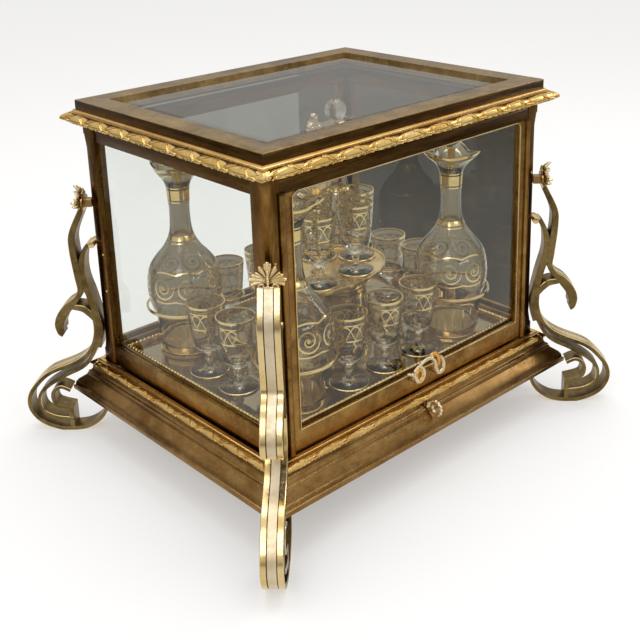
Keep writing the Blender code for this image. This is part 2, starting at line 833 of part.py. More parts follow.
def key_and_lock(gold, bronze):
    """Key with its bit, the open-topped lock case, and the bolt that the bit lifts."""
    origin = (0, lock_front, key_level)
    face = -(half_depth + plinth_projection * plinth_profile_shares[8][0]) - 2 * gap
    bit_back = bolt_front - 2 * gap
    bit_front = bit_back - bit_length
    collar_end = face - key_collar_length
    bow_centre = (0, collar_end - key_bow_radius - key_bow_wire / 2, key_level)
    shaft_end = (0, collar_end - key_bow_wire, key_level)
    shaft = rod((0, bit_back, key_level), shaft_end, key_radius, round_sides)
    collar = rod((0, face, key_level), (0, collar_end, key_level), key_collar_radius, round_sides)
    bow = torus(
        bow_centre, (0, 1, 0), (0, 0, 1), key_bow_radius, key_bow_rise_share * key_bow_radius,
        key_bow_wire, key_bow_steps, key_bow_sides,
    )
    bit_low = (-bit_half_thickness, bit_front, key_level - bit_reach)
    bit = block(bit_low, (bit_half_thickness, bit_back - gap, key_level))
    piece("key", about(union(shaft, collar, bow, bit), origin), gold, origin, smooth=True)

    low = lock_top - lock_height
    case = block((-lock_half_width, lock_front, low), (lock_half_width, lock_back, lock_top))
    inner_x = lock_half_width - lock_wall
    hollow_low = (-inner_x, lock_front + lock_wall, low + lock_wall)
    hollow = block(hollow_low, (inner_x, lock_back - lock_wall, lock_top + lock_wall))
    bore_start = (0, lock_front - lock_wall, key_level)
    bore_end = (0, lock_front + 2 * lock_wall, key_level)
    bore = rod(bore_start, bore_end, key_radius + gap, round_sides)
    piece("lock_case", cut(case, hollow, bore), bronze)

    plate_low = (-bolt_half_width, bolt_front, bolt_top - bolt_tail - bolt_travel)
    plate = block(plate_low, (bolt_half_width, bolt_back, bolt_top))
    talon_z = key_level - talon_below_axis
    talon = block(
        (talon_start, bit_front, talon_z), (talon_start + talon_width, bolt_back, talon_z + talon_thickness)
    )
    foot = (0, (bolt_front + bolt_back) / 2, case_floor)
    piece("lock_bolt", about(union(plate, talon), foot), bronze, foot)


def leg_storey(level):
    """Return a height above the ground for a height counted in storeys."""
    marks = (0, plinth_lift - gap, case_floor, leg_foot_height)
    floor = min(int(level), 2)
    return marks[floor] + (level - floor) * (marks[floor + 1] - marks[floor])


def leg_point(share, level):
    """Return a point of the leg's plane: distance out from the case's corner, and height."""
    seat = -(diagonal * post_inset + post_hollow / diagonal) + gap
    return seat + share * (leg_reach - seat), leg_storey(level)


def ribbon(shares, thickness_shares, inward, spans, grooved=False):
    """Return a flat ribbon across the leg's width whose face follows the points; inward picks the side."""
    controls = [
        (*leg_point(*point), leg_width * thickness)
        for point, thickness in zip(shares, thickness_shares)
    ]
    run = [(out, max(z, 0), thickness) for out, z, thickness in smooth_run(controls, spans)]
    return ribbon_along(run, inward, grooved)


def ribbon_along(run, inward, grooved):
    """Sweep the ribbon's section along a run of (out, height, thickness)."""
    half = leg_width / 2
    third = leg_width / 6
    sections = []
    for index, (out, z, thickness) in enumerate(run):
        before = run[max(index - 1, 0)]
        after = run[min(index + 1, len(run) - 1)]
        along = Vector((after[0] - before[0], after[1] - before[1])).normalized()
        across = Vector((along.y, -along.x)) * inward
        face = [(-half, 0), (half, 0)]
        if grooved:
            sunk = [(-third, 0), (-third, leg_groove), (third, leg_groove), (third, 0)]
            face = [(-half, 0)] + sunk + [(half, 0)]
        section = [(out + sink * across.x, side, z + sink * across.y) for side, sink in face]
        section.append((out + thickness * across.x, half, z + thickness * across.y))
        section.append((out + thickness * across.x, -half, z + thickness * across.y))
        sections.append(section)
    return loft(sections)


def leg_mesh():
    """Return one scroll leg: welded ribbons with open windows, in its own plane."""
    branch_a = ribbon(branch_a_shares, branch_a_thickness_shares, 1, branch_a_spans, grooved=True)
    branch_b = ribbon(branch_b_shares, branch_b_thickness_shares, -1, branch_b_spans)
    arch = ribbon(arch_shares, arch_thickness_shares, 1, arch_spans)
    outer = ribbon(outer_shares, outer_thickness_shares, 1, outer_spans, grooved=True)
    thin = [thin_thickness_share] * len(middle_shares)
    middle = ribbon(middle_shares, thin, -1, middle_spans)
    corner = diagonal * plinth_projection + gap
    start = (corner, leg_storey(1) + leg_width * thin_thickness_share, leg_width * thin_thickness_share)
    run = [start] + [
        (*leg_point(*point), leg_width * thin_thickness_share) for point in inner_shares
    ]
    inner = ribbon_along(smooth_run(run, inner_spans), 1, False)
    (bar_out, bar_low), (_, bar_high) = bar_shares
    bar_start, bar_bottom = leg_point(bar_out, bar_low)
    bar_top = leg_storey(bar_high)
    half = leg_width / 2
    bar = block((bar_start, -half, bar_bottom), (bar_start + leg_bar, half, bar_top))
    roll_out, roll_z = leg_point(0, branch_b_shares[0][1] + gap)
    roll_out += leg_roll
    roll = rod((roll_out, -half, roll_z), (roll_out, half, roll_z), leg_roll, leg_roll_sides)
    return union(outer, middle, inner, bar, branch_b, roll, arch, branch_a)


def leaf_mesh():
    """Return a palmette of rounded lobes with a raised middle, on a boss that reaches the post."""
    seat = leg_point(0, 0)[0]
    centre_z = leg_foot_height + gap + leaf_base
    count = leaf_lobes * leaf_points_per_lobe
    outline = []
    for index in range(count + 1):
        angle = leaf_spread * (2 * index / count - 1)
        wave = abs(math.cos(leaf_lobes * math.pi * angle / (2 * leaf_spread)))
        lobe = 1 - leaf_notch_share * (1 - wave)
        lean = abs(math.sin(angle))
        reach = (leaf_height * (1 - lean) + leaf_half_width * lean) * lobe
        outline.append((reach * math.sin(angle), reach * math.cos(angle)))
    outline.append((leaf_stem, -leaf_base))
    outline.insert(0, (-leaf_stem, -leaf_base))
    sections = []
    for depth_out, share in zip((0, leaf_thickness, leaf_thickness + leaf_relief), leaf_face_shares):
        sections.append([(depth_out, share * t, centre_z + share * z) for t, z in outline])
    palmette = loft(sections)
    boss_low = (seat, -leaf_stem, centre_z - leaf_stem)
    boss = block(boss_low, (leaf_thickness / 2, leaf_stem, centre_z + leaf_stem))
    return union(palmette, boss)


def legs(bronze, gold):
    """Four legs and their leaves, on the diagonals of the case."""
    leg = leg_mesh()
    leaf = leaf_mesh()
    for corner, sign_x, sign_y in corners:
        place = (sign_x * half_width, sign_y * half_depth, 0)
        turn = math.atan2(sign_y, sign_x)
        piece("leg_" + corner, leg, bronze, place, turn)
        piece("leg_leaf_" + corner, leaf, gold, place, turn)


def decanter_places():
    return [(sx * decanter_x, sy * decanter_y) for sy in (-1, 1) for sx in (-1, 1)]


def lower_glass_places():
    """Return (x, y, direction of the holder's back) for the glasses that stand on the mirror."""
    rows = [(step * row_pitch, side * row_y, (0, -side)) for side in (-1, 1) for step in (-1, 0, 1)]
    columns = []
    for side in (-1, 1):
        for step in (-1, 1):
            columns.append((side * column_x, step * column_pitch / 2, (-side, 0)))
    return rows + columns


def upper_glass_places():
    pairs = [(sx * upper_pair_x, sy * upper_pair_y) for sy in (-1, 1) for sx in (-1, 1)]
    return pairs + [(-upper_single_x, 0), (upper_single_x, 0)]


def carrier_tray(gold, mirror):
    """Tray with its gallery and decanter saucers, and the mirror that lies in it."""
    top = tray_bottom + tray_height
    mid = deck_top + (top - deck_top) / 2
    under = deck_top - tray_deck
    profile = [(0, tray_bottom)]
    profile += [(-gallery_width * across, mid + (top - mid) * up) for across, up in gallery_shares]
    profile += [(-gallery_width, deck_top), (-gallery_width, under)]
    profile += [(-tray_skirt, under), (-tray_skirt, tray_bottom)]
    frame = mitred_ring(tray_x, tray_y, profile)
    inset = gallery_width / 2
    deck = block((inset - tray_x, inset - tray_y, under), (tray_x - inset, tray_y - inset, deck_top))
    saucers = []
    for x, y in decanter_places():
        foot = (x, y, deck_top - tray_deck / 2)
        saucers.append(rod(foot, (x, y, saucer_top), saucer_radius, saucer_sides))
    piece("carrier_tray", union(frame, deck, *saucers), gold)
    plate_x = tray_x - gallery_width - gap
    plate_y = tray_y - gallery_width - gap
    plate = block((-plate_x, -plate_y, mirror_bottom), (plate_x, plate_y, floor_level))
    holes = []
    for x, y in decanter_places():
        below, above = (x, y, mirror_bottom - tray_deck), (x, y, floor_level + tray_deck)
        holes.append(rod(below, above, saucer_radius + gap, saucer_sides))
    piece("mirror_plate", cut(plate, *holes), mirror)


def arc_band(centre, inner, outer, start, sweep, steps, low, high):
    """Return a flat curved band, closed into a ring when it sweeps a full turn."""
    full = math.isclose(sweep, math.tau)
    sections = []
    for step in range(steps if full else steps + 1):
        angle = start + sweep * step / steps
        c, s = math.cos(angle), math.sin(angle)
        corners = ((inner, low), (outer, low), (outer, high), (inner, high))
        sections.append([(centre[0] + r * c, centre[1] + r * s, z) for r, z in corners])
    return loft(sections, closed_path=full)


def lower_rack(gold):
    """Rings round the decanters and forks behind the glasses, on bars and flat posts."""
    ring_low = floor_level + ring_lift
    ring_high = ring_low + ring_height
    bar_low = floor_level + fork_lift
    bar_high = bar_low + fork_thickness
    ring_outer = ring_inner + ring_width
    ring_middle = ring_inner + ring_width / 2
    bar_y = row_y - fork_inner - fork_width / 2
    bar_x = column_x - fork_inner - fork_width / 2
    row_end = decanter_x - math.sqrt(ring_middle ** 2 - (decanter_y - bar_y) ** 2)
    column_end = decanter_y - math.sqrt(ring_middle ** 2 - (decanter_x - bar_x) ** 2)
    half_bar = bar_width / 2
    half_post = holder_post / 2
    half_thin = holder_post_thickness / 2
    parts = []
    for side in (-1, 1):
        y, x = side * bar_y, side * bar_x
        parts.append(block((-row_end, y - half_bar, bar_low), (row_end, y + half_bar, bar_high)))
        parts.append(block((x - half_bar, -column_end, bar_low), (x + half_bar, column_end, bar_high)))
    posts = []
    for sx in (-1, 1):
        for sy in (-1, 1):
            posts.append((sx * row_end, sy * bar_y, half_thin, half_post))
            posts.append((sx * bar_x, sy * column_end, half_post, half_thin))
    for x, y, reach_x, reach_y in posts:
        low = (x - reach_x, y - reach_y, floor_level + gap)
        parts.append(block(low, (x + reach_x, y + reach_y, ring_high - gap)))
    for x, y in decanter_places():
        parts.append(arc_band((x, y), ring_inner, ring_outer, 0, math.tau, ring_sides, ring_low, ring_high))
    for x, y, (back_x, back_y) in lower_glass_places():
        start = math.atan2(back_y, back_x) - math.pi / 2
        outer = fork_inner + fork_width
        band_low, band_high = bar_low + gap, bar_high + gap
        parts.append(arc_band((x, y), fork_inner, outer, start, math.pi, fork_sides, band_low, band_high))
    piece("lower_rack", union(parts[0], *parts[1:]), gold)


def upper_platform(bronze):
    """Oval platform with a raised rim, on a turned pedestal."""
    base = platform_top - platform_thickness
    rim_top = platform_top + platform_rim

    def oval(inset, z):
        points = []
        for index in range(platform_sides):
            angle = math.tau * index / platform_sides
            x, y = platform_half_x - inset, platform_half_y - inset
            points.append((x * math.cos(angle), y * math.sin(angle), z))
        return points

    plate = loft([
        oval(platform_rim_width / 2, base), oval(0, base + platform_thickness / 2), oval(0, rim_top),
        oval(platform_rim_width, rim_top), oval(platform_rim_width, platform_top),
    ])
    foot = floor_level + gap
    tall = base - foot
    profile = [(0, foot)]
    for radius_share, up in pedestal_shares:
        profile.append((pedestal_radius * radius_share, foot + tall * up))
    inside = base + platform_thickness / 2
    profile += [(profile[-1][0], inside), (0, inside)]
    piece("upper_platform", union(plate, turned(profile, round_sides)), bronze)


def centre_handle(gold):
    """Turned carrying handle with ring mouldings, a vase and a trefoil finial."""
    foot = platform_top + gap
    profile = [(0, foot)]
    profile += [(vase_radius * r, foot + handle_column * up) for r, up in handle_profile_shares]
    top = foot + handle_column
    profile.append((0, top))
    column = turned(profile, round_sides)
    middle = top + trefoil_waist_share * trefoil_height / 2 - trefoil_sink
    swell = (1 - trefoil_waist_share) / 2
    outline = []
    for index in range(trefoil_points):
        angle = math.pi / 2 + math.tau * index / trefoil_points
        reach = trefoil_waist_share + swell * (1 + math.cos(3 * (angle - math.pi / 2)))
        x = reach * trefoil_width / 2 * math.cos(angle)
        outline.append((x, -trefoil_thickness / 2, middle + reach * trefoil_height / 2 * math.sin(angle)))
    piece("centre_handle", union(column, prism(outline, (0, trefoil_thickness, 0))), gold, smooth=True)


def glass_mesh():
    """Return one stemmed glass."""
    profile = [(0, 0)]
    profile += [(glass_radius * r, glass_height * h) for r, h in glass_outer_shares + glass_inner_shares]
    profile.append((0, glass_height * glass_floor_share))
    return turned(profile, glass_sides)


def glasses(glass):
    """Ten glasses on the mirror and six on the platform."""
    mesh = glass_mesh()
    places = [(x, y, floor_level + gap) for x, y, _ in lower_glass_places()]
    places += [(x, y, platform_top + gap) for x, y in upper_glass_places()]
    for number, place in enumerate(places, 1):
        piece("glass_%02d" % number, mesh, glass, place, smooth=True)


def decanter_mesh():
    """Return one decanter with a pinched three-lobed lip."""
    start = decanter_height * lip_start_share

    def pinched(radius, height, angle):
        if height < start:
            return radius
        return radius * (1 + lip_wave_share * math.cos(lip_lobes * angle))

    shares = decanter_outer_shares + decanter_inner_shares
    profile = [(0, 0)] + [(decanter_radius * r, decanter_height * h) for r, h in shares]
    profile.append((0, decanter_height * decanter_floor_share))
    return turned(profile, decanter_sides, pinched)


def stopper_mesh():
    """Return one stopper: a plug ground to the neck, a stem and a ball."""
    plug = decanter_radius * bore_share - gap
    profile = [(0, decanter_height * stopper_bottom_share)]
    profile.append((plug_taper_share * plug, decanter_height * stopper_bottom_share))
    profile.append((plug, decanter_height * plug_top_share))
    profile += [(plug * r, decanter_height * h) for r, h in stopper_stem_shares]
    centre = decanter_height + ball_rise
    for ring in range(1, ball_rings):
        angle = -math.pi / 2 + math.pi * ring / ball_rings
        profile.append((ball_radius * math.cos(angle), centre + ball_radius * math.sin(angle)))
    profile.append((0, centre + ball_radius))
    return turned(profile, stopper_sides)


def decanters(glass, crystal):
    """Four decanters on their saucers, each with its stopper."""
    body, stopper = decanter_mesh(), stopper_mesh()
    for number, (x, y) in enumerate(decanter_places(), 1):
        place = (x, y, saucer_top + gap)
        piece("decanter_%d" % number, body, glass, place, smooth=True)
        piece("stopper_%d" % number, stopper, crystal, place, smooth=True)


def main():
    clear_scene()
    bronze = finish("bronze", (0.28, 0.19, 0.09), 0.38, 1.0)
    gilt = finish("gilt bronze", (0.72, 0.52, 0.22), 0.30, 1.0)
    bright = finish("polished gilt", (0.83, 0.64, 0.30), 0.22, 1.0)
    clear = finish("clear glass", (0.90, 0.92, 0.92), 0.05, 0.0, 0.35)
    silvered = finish("mirror", (0.75, 0.76, 0.76), 0.06, 1.0)
    base_plinth(bronze)
    mouldings(gilt, bronze)
    corner_posts(bronze)
    lower_frame(bronze)
    upper_frame(bronze)
    top_frame_and_glass(bronze, clear)
    side_panes(clear)
    door(bronze, clear, gilt)
    key_and_lock(gilt, bronze)
    legs(bright, gilt)
    carrier_tray(gilt, silvered)
    lower_rack(gilt)
    upper_platform(bronze)
    centre_handle(gilt)
    glasses(clear)
    decanters(clear, clear)


main()
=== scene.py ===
"""The liqueur cabinet's looks: gilt and worn bronze, glass, mirror, carving and gilded glassware."""

import json
import math

import bpy
from mathutils import Matrix, Vector

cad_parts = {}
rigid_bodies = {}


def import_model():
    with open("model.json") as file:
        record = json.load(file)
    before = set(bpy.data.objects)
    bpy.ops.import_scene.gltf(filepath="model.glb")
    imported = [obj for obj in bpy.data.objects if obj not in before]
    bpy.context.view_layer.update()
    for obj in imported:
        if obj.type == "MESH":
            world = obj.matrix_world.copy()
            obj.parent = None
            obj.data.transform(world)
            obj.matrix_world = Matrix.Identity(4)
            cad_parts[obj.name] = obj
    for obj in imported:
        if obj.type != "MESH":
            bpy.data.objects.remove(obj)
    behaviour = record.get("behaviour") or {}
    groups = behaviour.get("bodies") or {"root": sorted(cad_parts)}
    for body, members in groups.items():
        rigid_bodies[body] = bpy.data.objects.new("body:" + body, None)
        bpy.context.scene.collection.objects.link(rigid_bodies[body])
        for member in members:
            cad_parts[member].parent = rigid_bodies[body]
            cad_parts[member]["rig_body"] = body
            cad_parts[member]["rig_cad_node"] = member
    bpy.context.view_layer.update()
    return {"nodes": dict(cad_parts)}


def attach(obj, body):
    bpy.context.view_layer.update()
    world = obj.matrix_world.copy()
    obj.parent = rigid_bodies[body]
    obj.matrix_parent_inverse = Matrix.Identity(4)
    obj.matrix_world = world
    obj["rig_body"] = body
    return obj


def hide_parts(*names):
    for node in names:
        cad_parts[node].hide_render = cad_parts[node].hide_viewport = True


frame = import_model()
nodes = frame["nodes"]

# The case and its storeys, in metres
HALF_WIDTH = 0.170
HALF_DEPTH = 0.1343
PLINTH_FOOT = 0.0417
CASE_FLOOR = 0.0745
LEAF_FOOT = 0.231
FLOOR_LEVEL = 0.0833
PLATFORM_TOP = 0.1543
SAUCER_TOP = 0.0848
DOOR_TOP_RAIL = 0.2972
GAP = 0.0003
CORNERS = (("fl", -1, -1), ("fr", 1, -1), ("bl", -1, 1), ("br", 1, 1))
LAUREL_HEIGHT = 0.0074
RAIL_FACE = -0.1307

# Where the camera stands, and the turn of the line on the floor that starts under it
CAMERA_PLACE = (-0.6208, -0.6985, 0.5383)
FLOOR_LINE_TURN = math.radians(40.8)

# Glassware, and where it stands
GLASS_RADIUS = 0.018
GLASS_HEIGHT = 0.070
DECANTER_RADIUS = 0.0357
DECANTER_HEIGHT = 0.186
DECANTER_PLACES = [(sx * 0.102, sy * 0.080) for sy in (-1, 1) for sx in (-1, 1)]
LOWER_GLASSES = [(sx * 0.046, sy * 0.088, (0, -sy)) for sy in (-1, 1) for sx in (-1, 0, 1)]
LOWER_GLASSES += [(sx * 0.120, sy * 0.022, (-sx, 0)) for sx in (-1, 1) for sy in (-1, 1)]
UPPER_GLASSES = [(sx * 0.024, sy * 0.027) for sy in (-1, 1) for sx in (-1, 1)] + [(-0.052, 0), (0.052, 0)]

glass_outer = (
    (1.0, 0.0), (1.0, 0.02), (0.66, 0.038), (0.30, 0.062), (0.14, 0.10), (0.12, 0.14), (0.22, 0.19),
    (0.13, 0.24), (0.30, 0.285), (0.60, 0.35), (0.76, 0.46), (0.86, 0.60), (0.94, 0.82), (1.0, 1.0),
)
glass_inner = ((0.95, 1.0), (0.89, 0.82), (0.81, 0.60), (0.70, 0.47), (0.50, 0.395), (0.25, 0.378))
decanter_outer = (
    (0.73, 0.0), (0.76, 0.02), (0.79, 0.10), (0.81, 0.19), (0.93, 0.25), (1.0, 0.34), (0.93, 0.44),
    (0.74, 0.50), (0.52, 0.55), (0.35, 0.61), (0.285, 0.67), (0.27, 0.76), (0.29, 0.80), (0.32, 0.88),
    (0.45, 0.93), (0.60, 0.965), (0.70, 1.0),
)
decanter_inner = (
    (0.65, 1.0), (0.50, 0.965), (0.32, 0.91), (0.185, 0.86), (0.182, 0.66), (0.30, 0.58), (0.66, 0.50),
    (0.86, 0.43), (0.93, 0.34), (0.84, 0.24), (0.73, 0.16), (0.70, 0.05), (0.66, 0.035),
)

# Legs: shares of the way out from the post, and heights counted in storeys
branch_a = (
    (0.152, 3.0), (0.285, 2.853), (0.303, 2.744), (0.273, 2.572), (0.255, 2.482), (0.309, 2.435),
    (0.418, 2.393), (0.515, 2.329), (0.564, 2.259), (0.539, 2.195), (0.491, 2.173),
)
branch_a_thick = (0.28, 0.34, 0.37, 0.40, 0.30, 0.32, 0.48, 0.50, 0.48, 0.38, 0.10)
branch_b = (
    (0.055, 2.776), (0.115, 2.725), (0.139, 2.642), (0.127, 2.553), (0.073, 2.444), (0.018, 2.304),
    (0.0, 2.208), (0.042, 2.099),
)
branch_b_thick = (0.20, 0.24, 0.36, 0.40, 0.38, 0.40, 0.46, 0.50)
arch = ((0.062, 2.304), (0.115, 2.342), (0.200, 2.380), (0.330, 2.390))
arch_thick = (0.30, 0.34, 0.36, 0.30)
outer = (
    (0.115, 2.304), (0.115, 2.201), (0.188, 2.093), (0.358, 2.016), (0.697, 1.708), (0.879, 1.308),
    (0.988, 0.905), (0.988, 0.548), (0.867, 0.214), (0.636, 0.014), (0.455, 0.0), (0.273, 0.071),
    (0.115, 0.286), (0.024, 0.595), (0.012, 1.0),
)
outer_thick = (0.22,) * 12 + (0.21, 0.20, 0.20)
middle = (
    (0.067, 2.12), (0.164, 2.019), (0.285, 1.785), (0.515, 1.492), (0.733, 1.138), (0.824, 0.857),
    (0.806, 0.571), (0.673, 0.405), (0.470, 0.350),
)
inner = ((0.576, 1.231), (0.679, 1.092), (0.709, 0.857), (0.661, 0.643), (0.470, 0.524))

# Door handle and the carrier's central handle
handle_left = (
    (-1.0, 0.68), (-0.80, 0.60), (-0.58, 0.44), (-0.45, 0.18), (-0.24, 0.14), (-0.09, 0.34), (-0.14, 0.60),
    (-0.34, 0.76), (-0.56, 0.66), (-0.60, 0.40),
)
handle_right = (
    (-0.50, 0.70), (-0.22, 0.84), (0.10, 0.92), (0.36, 0.84), (0.52, 0.62), (0.56, 0.36), (0.70, 0.12),
    (0.92, 0.16), (0.98, 0.44), (0.88, 0.68), (0.68, 0.82), (0.47, 1.0),
)
column_profile = (
    (0.57, 0.0), (0.57, 0.010), (0.32, 0.030), (0.19, 0.060), (0.19, 0.40), (0.36, 0.415), (0.36, 0.43),
    (0.19, 0.445), (0.19, 0.475), (0.36, 0.49), (0.36, 0.505), (0.20, 0.525), (0.64, 0.565), (1.0, 0.61),
    (1.0, 0.645), (0.66, 0.68), (0.24, 0.70), (0.20, 0.91), (0.36, 0.94), (0.20, 0.97), (0.20, 1.0),
)


# Finishes

class Wire:
    """One output of a finish, in an expression: each operator adds its Math node."""

    def __init__(self, finish, socket):
        self.finish = finish
        self.socket = socket

    def math(self, operation, first, second=0.0):
        return self.finish.node("ShaderNodeMath", {"operation": operation}, {0: first, 1: second})

    def __add__(self, other):
        return self.math("ADD", self, other)

    __radd__ = __add__

    def __sub__(self, other):
        return self.math("SUBTRACT", self, other)

    def __rsub__(self, other):
        return self.math("SUBTRACT", other, self)

    def __mul__(self, other):
        return self.math("MULTIPLY", self, other)

    __rmul__ = __mul__

    def __truediv__(self, other):
        return self.math("DIVIDE", self, other)

    def __gt__(self, other):
        return self.math("GREATER_THAN", self, other)

    def __lt__(self, other):
        return self.math("LESS_THAN", self, other)

    def __abs__(self):
        return self.math("ABSOLUTE", self)

    def __pow__(self, other):
        return self.math("POWER", self, other)

    def sine(self):
        return self.math("SINE", self)

    def fraction(self):
        return self.math("FRACT", self)

    def or_else(self, other):
        return self.math("MAXIMUM", self, other)


class Finish:
    """A material under work."""

    def __init__(self, name):
        self.material = bpy.data.materials.new(name)
        self.material.use_nodes = True
        self.tree = self.material.node_tree
        self.tree.nodes.clear()

    def node(self, kind, settings=None, values=None, output=0):
        """Add a node: its settings first, then the values or links of its sockets."""
        made = self.tree.nodes.new(kind)
        for key, value in (settings or {}).items():
            if key == "stops":
                ramp = made.color_ramp
                while len(ramp.elements) < len(value):
                    ramp.elements.new(1.0)
                for element, (place, colour) in zip(ramp.elements, value):
                    element.position = place
                    element.color = (*colour, 1.0)
            else:
                setattr(made, key, value)
        for key, value in (values or {}).items():
            if isinstance(value, Wire):
                self.tree.links.new(value.socket, made.inputs[key])
            else:
                made.inputs[key].default_value = value
        return Wire(self, made.outputs[output])

    def place(self):
        """Where a point lies on the object."""
        return self.node("ShaderNodeTexCoord", output="Object")

    def turned(self):
        """The piece's own map: (round the turn, up the height)."""
        split = self.node("ShaderNodeSeparateXYZ", None, {0: self.node("ShaderNodeUVMap", {"uv_map": "turned"})})
        return split, Wire(self, split.socket.node.outputs[1])

    def cloud(self, scale, detail=4.0, rough=0.55, at=None):
        values = {"Vector": at or self.place(), "Scale": scale, "Detail": detail, "Roughness": rough}
        return self.node("ShaderNodeTexNoise", None, values)

    def steps(self, value, *stops):
        return self.node("ShaderNodeValToRGB", {"stops": stops}, {0: value})

    def level(self, value, low, high, to_low=0.0, to_high=1.0):
        return self.node("ShaderNodeMapRange", None, {0: value, 1: low, 2: high, 3: to_low, 4: to_high})

    def blend(self, share, first, second):
        values = {0: share}
        for key, colour in ((6, first), (7, second)):
            values[key] = colour if isinstance(colour, Wire) else (*colour, 1.0)
        return self.node("ShaderNodeMix", {"data_type": "RGBA"}, values, output=2)

    def bump(self, height, strength, distance):
        values = {"Height": height, "Strength": strength, "Distance": distance}
        return self.node("ShaderNodeBump", None, values)

    def surface(self, shader):
        out = self.tree.nodes.new("ShaderNodeOutputMaterial")
        self.tree.links.new(shader.socket, out.inputs["Surface"])
        return self.material

    def principled(self, **values):
        named = {key.replace("_", " "): value for key, value in values.items()}
        return self.node("ShaderNodeBsdfPrincipled", None, named)


def worn_bronze(name, dark, mid, bright, wear, rough, drawn=(1.0, 1.0, 1.0)):
    """Lacquered bronze, browned and rubbed: patina drawn out along the metal, rubbed spots and fine brush marks."""
    f = Finish(name)
    along = f.node("ShaderNodeMapping", None, {"Vector": f.place(), "Scale": drawn})
    broad = f.cloud(16, 6.0, 0.62, along)
    fine = f.cloud(150, 5.0, 0.6, along)
    rubbed = f.level(f.cloud(44, 8.0, 0.7, along) + 0.35 * fine, 0.60, 0.84)
    patina = f.blend(f.level(broad, 0.34, 0.68), dark, mid)
    colour = f.blend(rubbed * wear, patina, bright)
    speck = f.level(f.cloud(420, 2.0, 0.5), 0.62, 0.74)
    colour = f.blend(speck * 0.35, colour, tuple(0.35 * c for c in dark))
    roughness = f.level(broad, 0.3, 0.7, rough, rough + 0.16) + 0.10 * speck
    normal = f.bump(fine + 0.4 * speck, 0.12, 0.0004)
    return f.surface(f.principled(Base_Color=colour, Metallic=1.0, Roughness=roughness, Normal=normal))


def gilding(name, deep, gold, pale, rough, grain, hollow=0.0):
    """Fire gilding: gold that pales where it is rubbed, with painted shade darkening the hollows of the chasing."""
    f = Finish(name)
    broad = f.cloud(40, 5.0, 0.6)
    fine = f.cloud(300, 4.0, 0.6)
    colour = f.blend(f.level(broad, 0.36, 0.66), gold, pale)
    soot = f.level(f.cloud(95, 6.0, 0.7), 0.56, 0.74)
    # Painted shade: the deeper a point lies in the chasing, the more it takes the deep colour.
    if hollow:
        depth = f.node("ShaderNodeAttribute", {"attribute_name": "hollow"}, None, output="Fac")
        colour = f.blend(depth * hollow, colour, deep)
    colour = f.blend(soot * 0.22, colour, deep)
    roughness = f.level(fine, 0.3, 0.7, rough - 0.05, rough + 0.10) + 0.08 * soot
    normal = f.bump(fine, grain, 0.0003)
    return f.surface(f.principled(Base_Color=colour, Metallic=1.0, Roughness=roughness, Normal=normal))


def plate_glass():
    """Clear old plate: a faint green-grey tint, sharp reflections and a slight smear."""
    f = Finish("plate glass")
    smear = f.level(f.cloud(9, 5.0, 0.6), 0.35, 0.75, 0.0, 0.035)
    edge = f.node("ShaderNodeFresnel", None, {"IOR": 1.5})
    behind = f.node("ShaderNodeNewGeometry", output="Backfacing")
    gloss = f.node("ShaderNodeBsdfGlossy", None, {"Color": (0.96, 0.97, 0.96, 1.0), "Roughness": 0.012})
    clear = f.node("ShaderNodeBsdfTransparent", None, {"Color": (0.955, 0.965, 0.955, 1.0)})
    return f.surface(f.node("ShaderNodeMixShader", None, {0: (edge + smear) * (1 - behind), 1: clear, 2: gloss}))


def blown_glass(name, gilt_mask, tint):
    """Blown glass with burnished gilding; lamps shine through it onto what stands behind."""
    f = Finish(name)
    mask = gilt_mask(f)
    gold = f.blend(f.cloud(160, 3.0, 0.5), (0.86, 0.60, 0.20), (0.98, 0.80, 0.42))
    colour = f.blend(mask, tint, gold)
    roughness = f.level(mask, 0.0, 1.0, 0.012, 0.2)
    body = f.principled(
        Base_Color=colour, Metallic=mask, Roughness=roughness, Transmission_Weight=1.0, IOR=1.47,
    )
    clear = f.node("ShaderNodeBsdfTransparent", None, {"Color": (0.93, 0.93, 0.91, 1.0)})
    shadow = f.node("ShaderNodeLightPath", output="Is Shadow Ray")
    return f.surface(f.node("ShaderNodeMixShader", None, {0: shadow * 0.9, 1: body, 2: clear}))


def band(value, low, high):
    return (value > low) * (value < high)


def any_of(mask, *others):
    for other in others:
        mask = mask.or_else(other)
    return mask


def glass_gilding(f):
    """Rim line, interlaced arches between two lines, tendril pendants, dots and foot rings."""
    around, up = f.turned()
    outside = up < 1.5
    lines = any_of(band(up, 0.972, 1.2), band(up, 0.90, 0.915), band(up, 0.675, 0.695))
    waves = [abs((math.pi * (6 * around + shift)).sine()) for shift in (0.0, 0.5)]
    arches = any_of(*[abs(up - 0.70 - 0.19 * wave) < 0.011 for wave in waves])
    swing = 0.012 * (up * 60).sine()
    tendril = (abs((6 * around + swing * 6).fraction() - 0.5) < 0.035) * band(up, 0.47, 0.675)
    bud = (abs((6 * around).fraction() - 0.5) < 0.10) * band(up, 0.50, 0.53)
    foot = band(up, 0.0, 0.022)
    knop = band(up, 0.178, 0.198)
    return any_of(lines, arches * band(up, 0.68, 0.91), tendril, bud, foot, knop) * outside


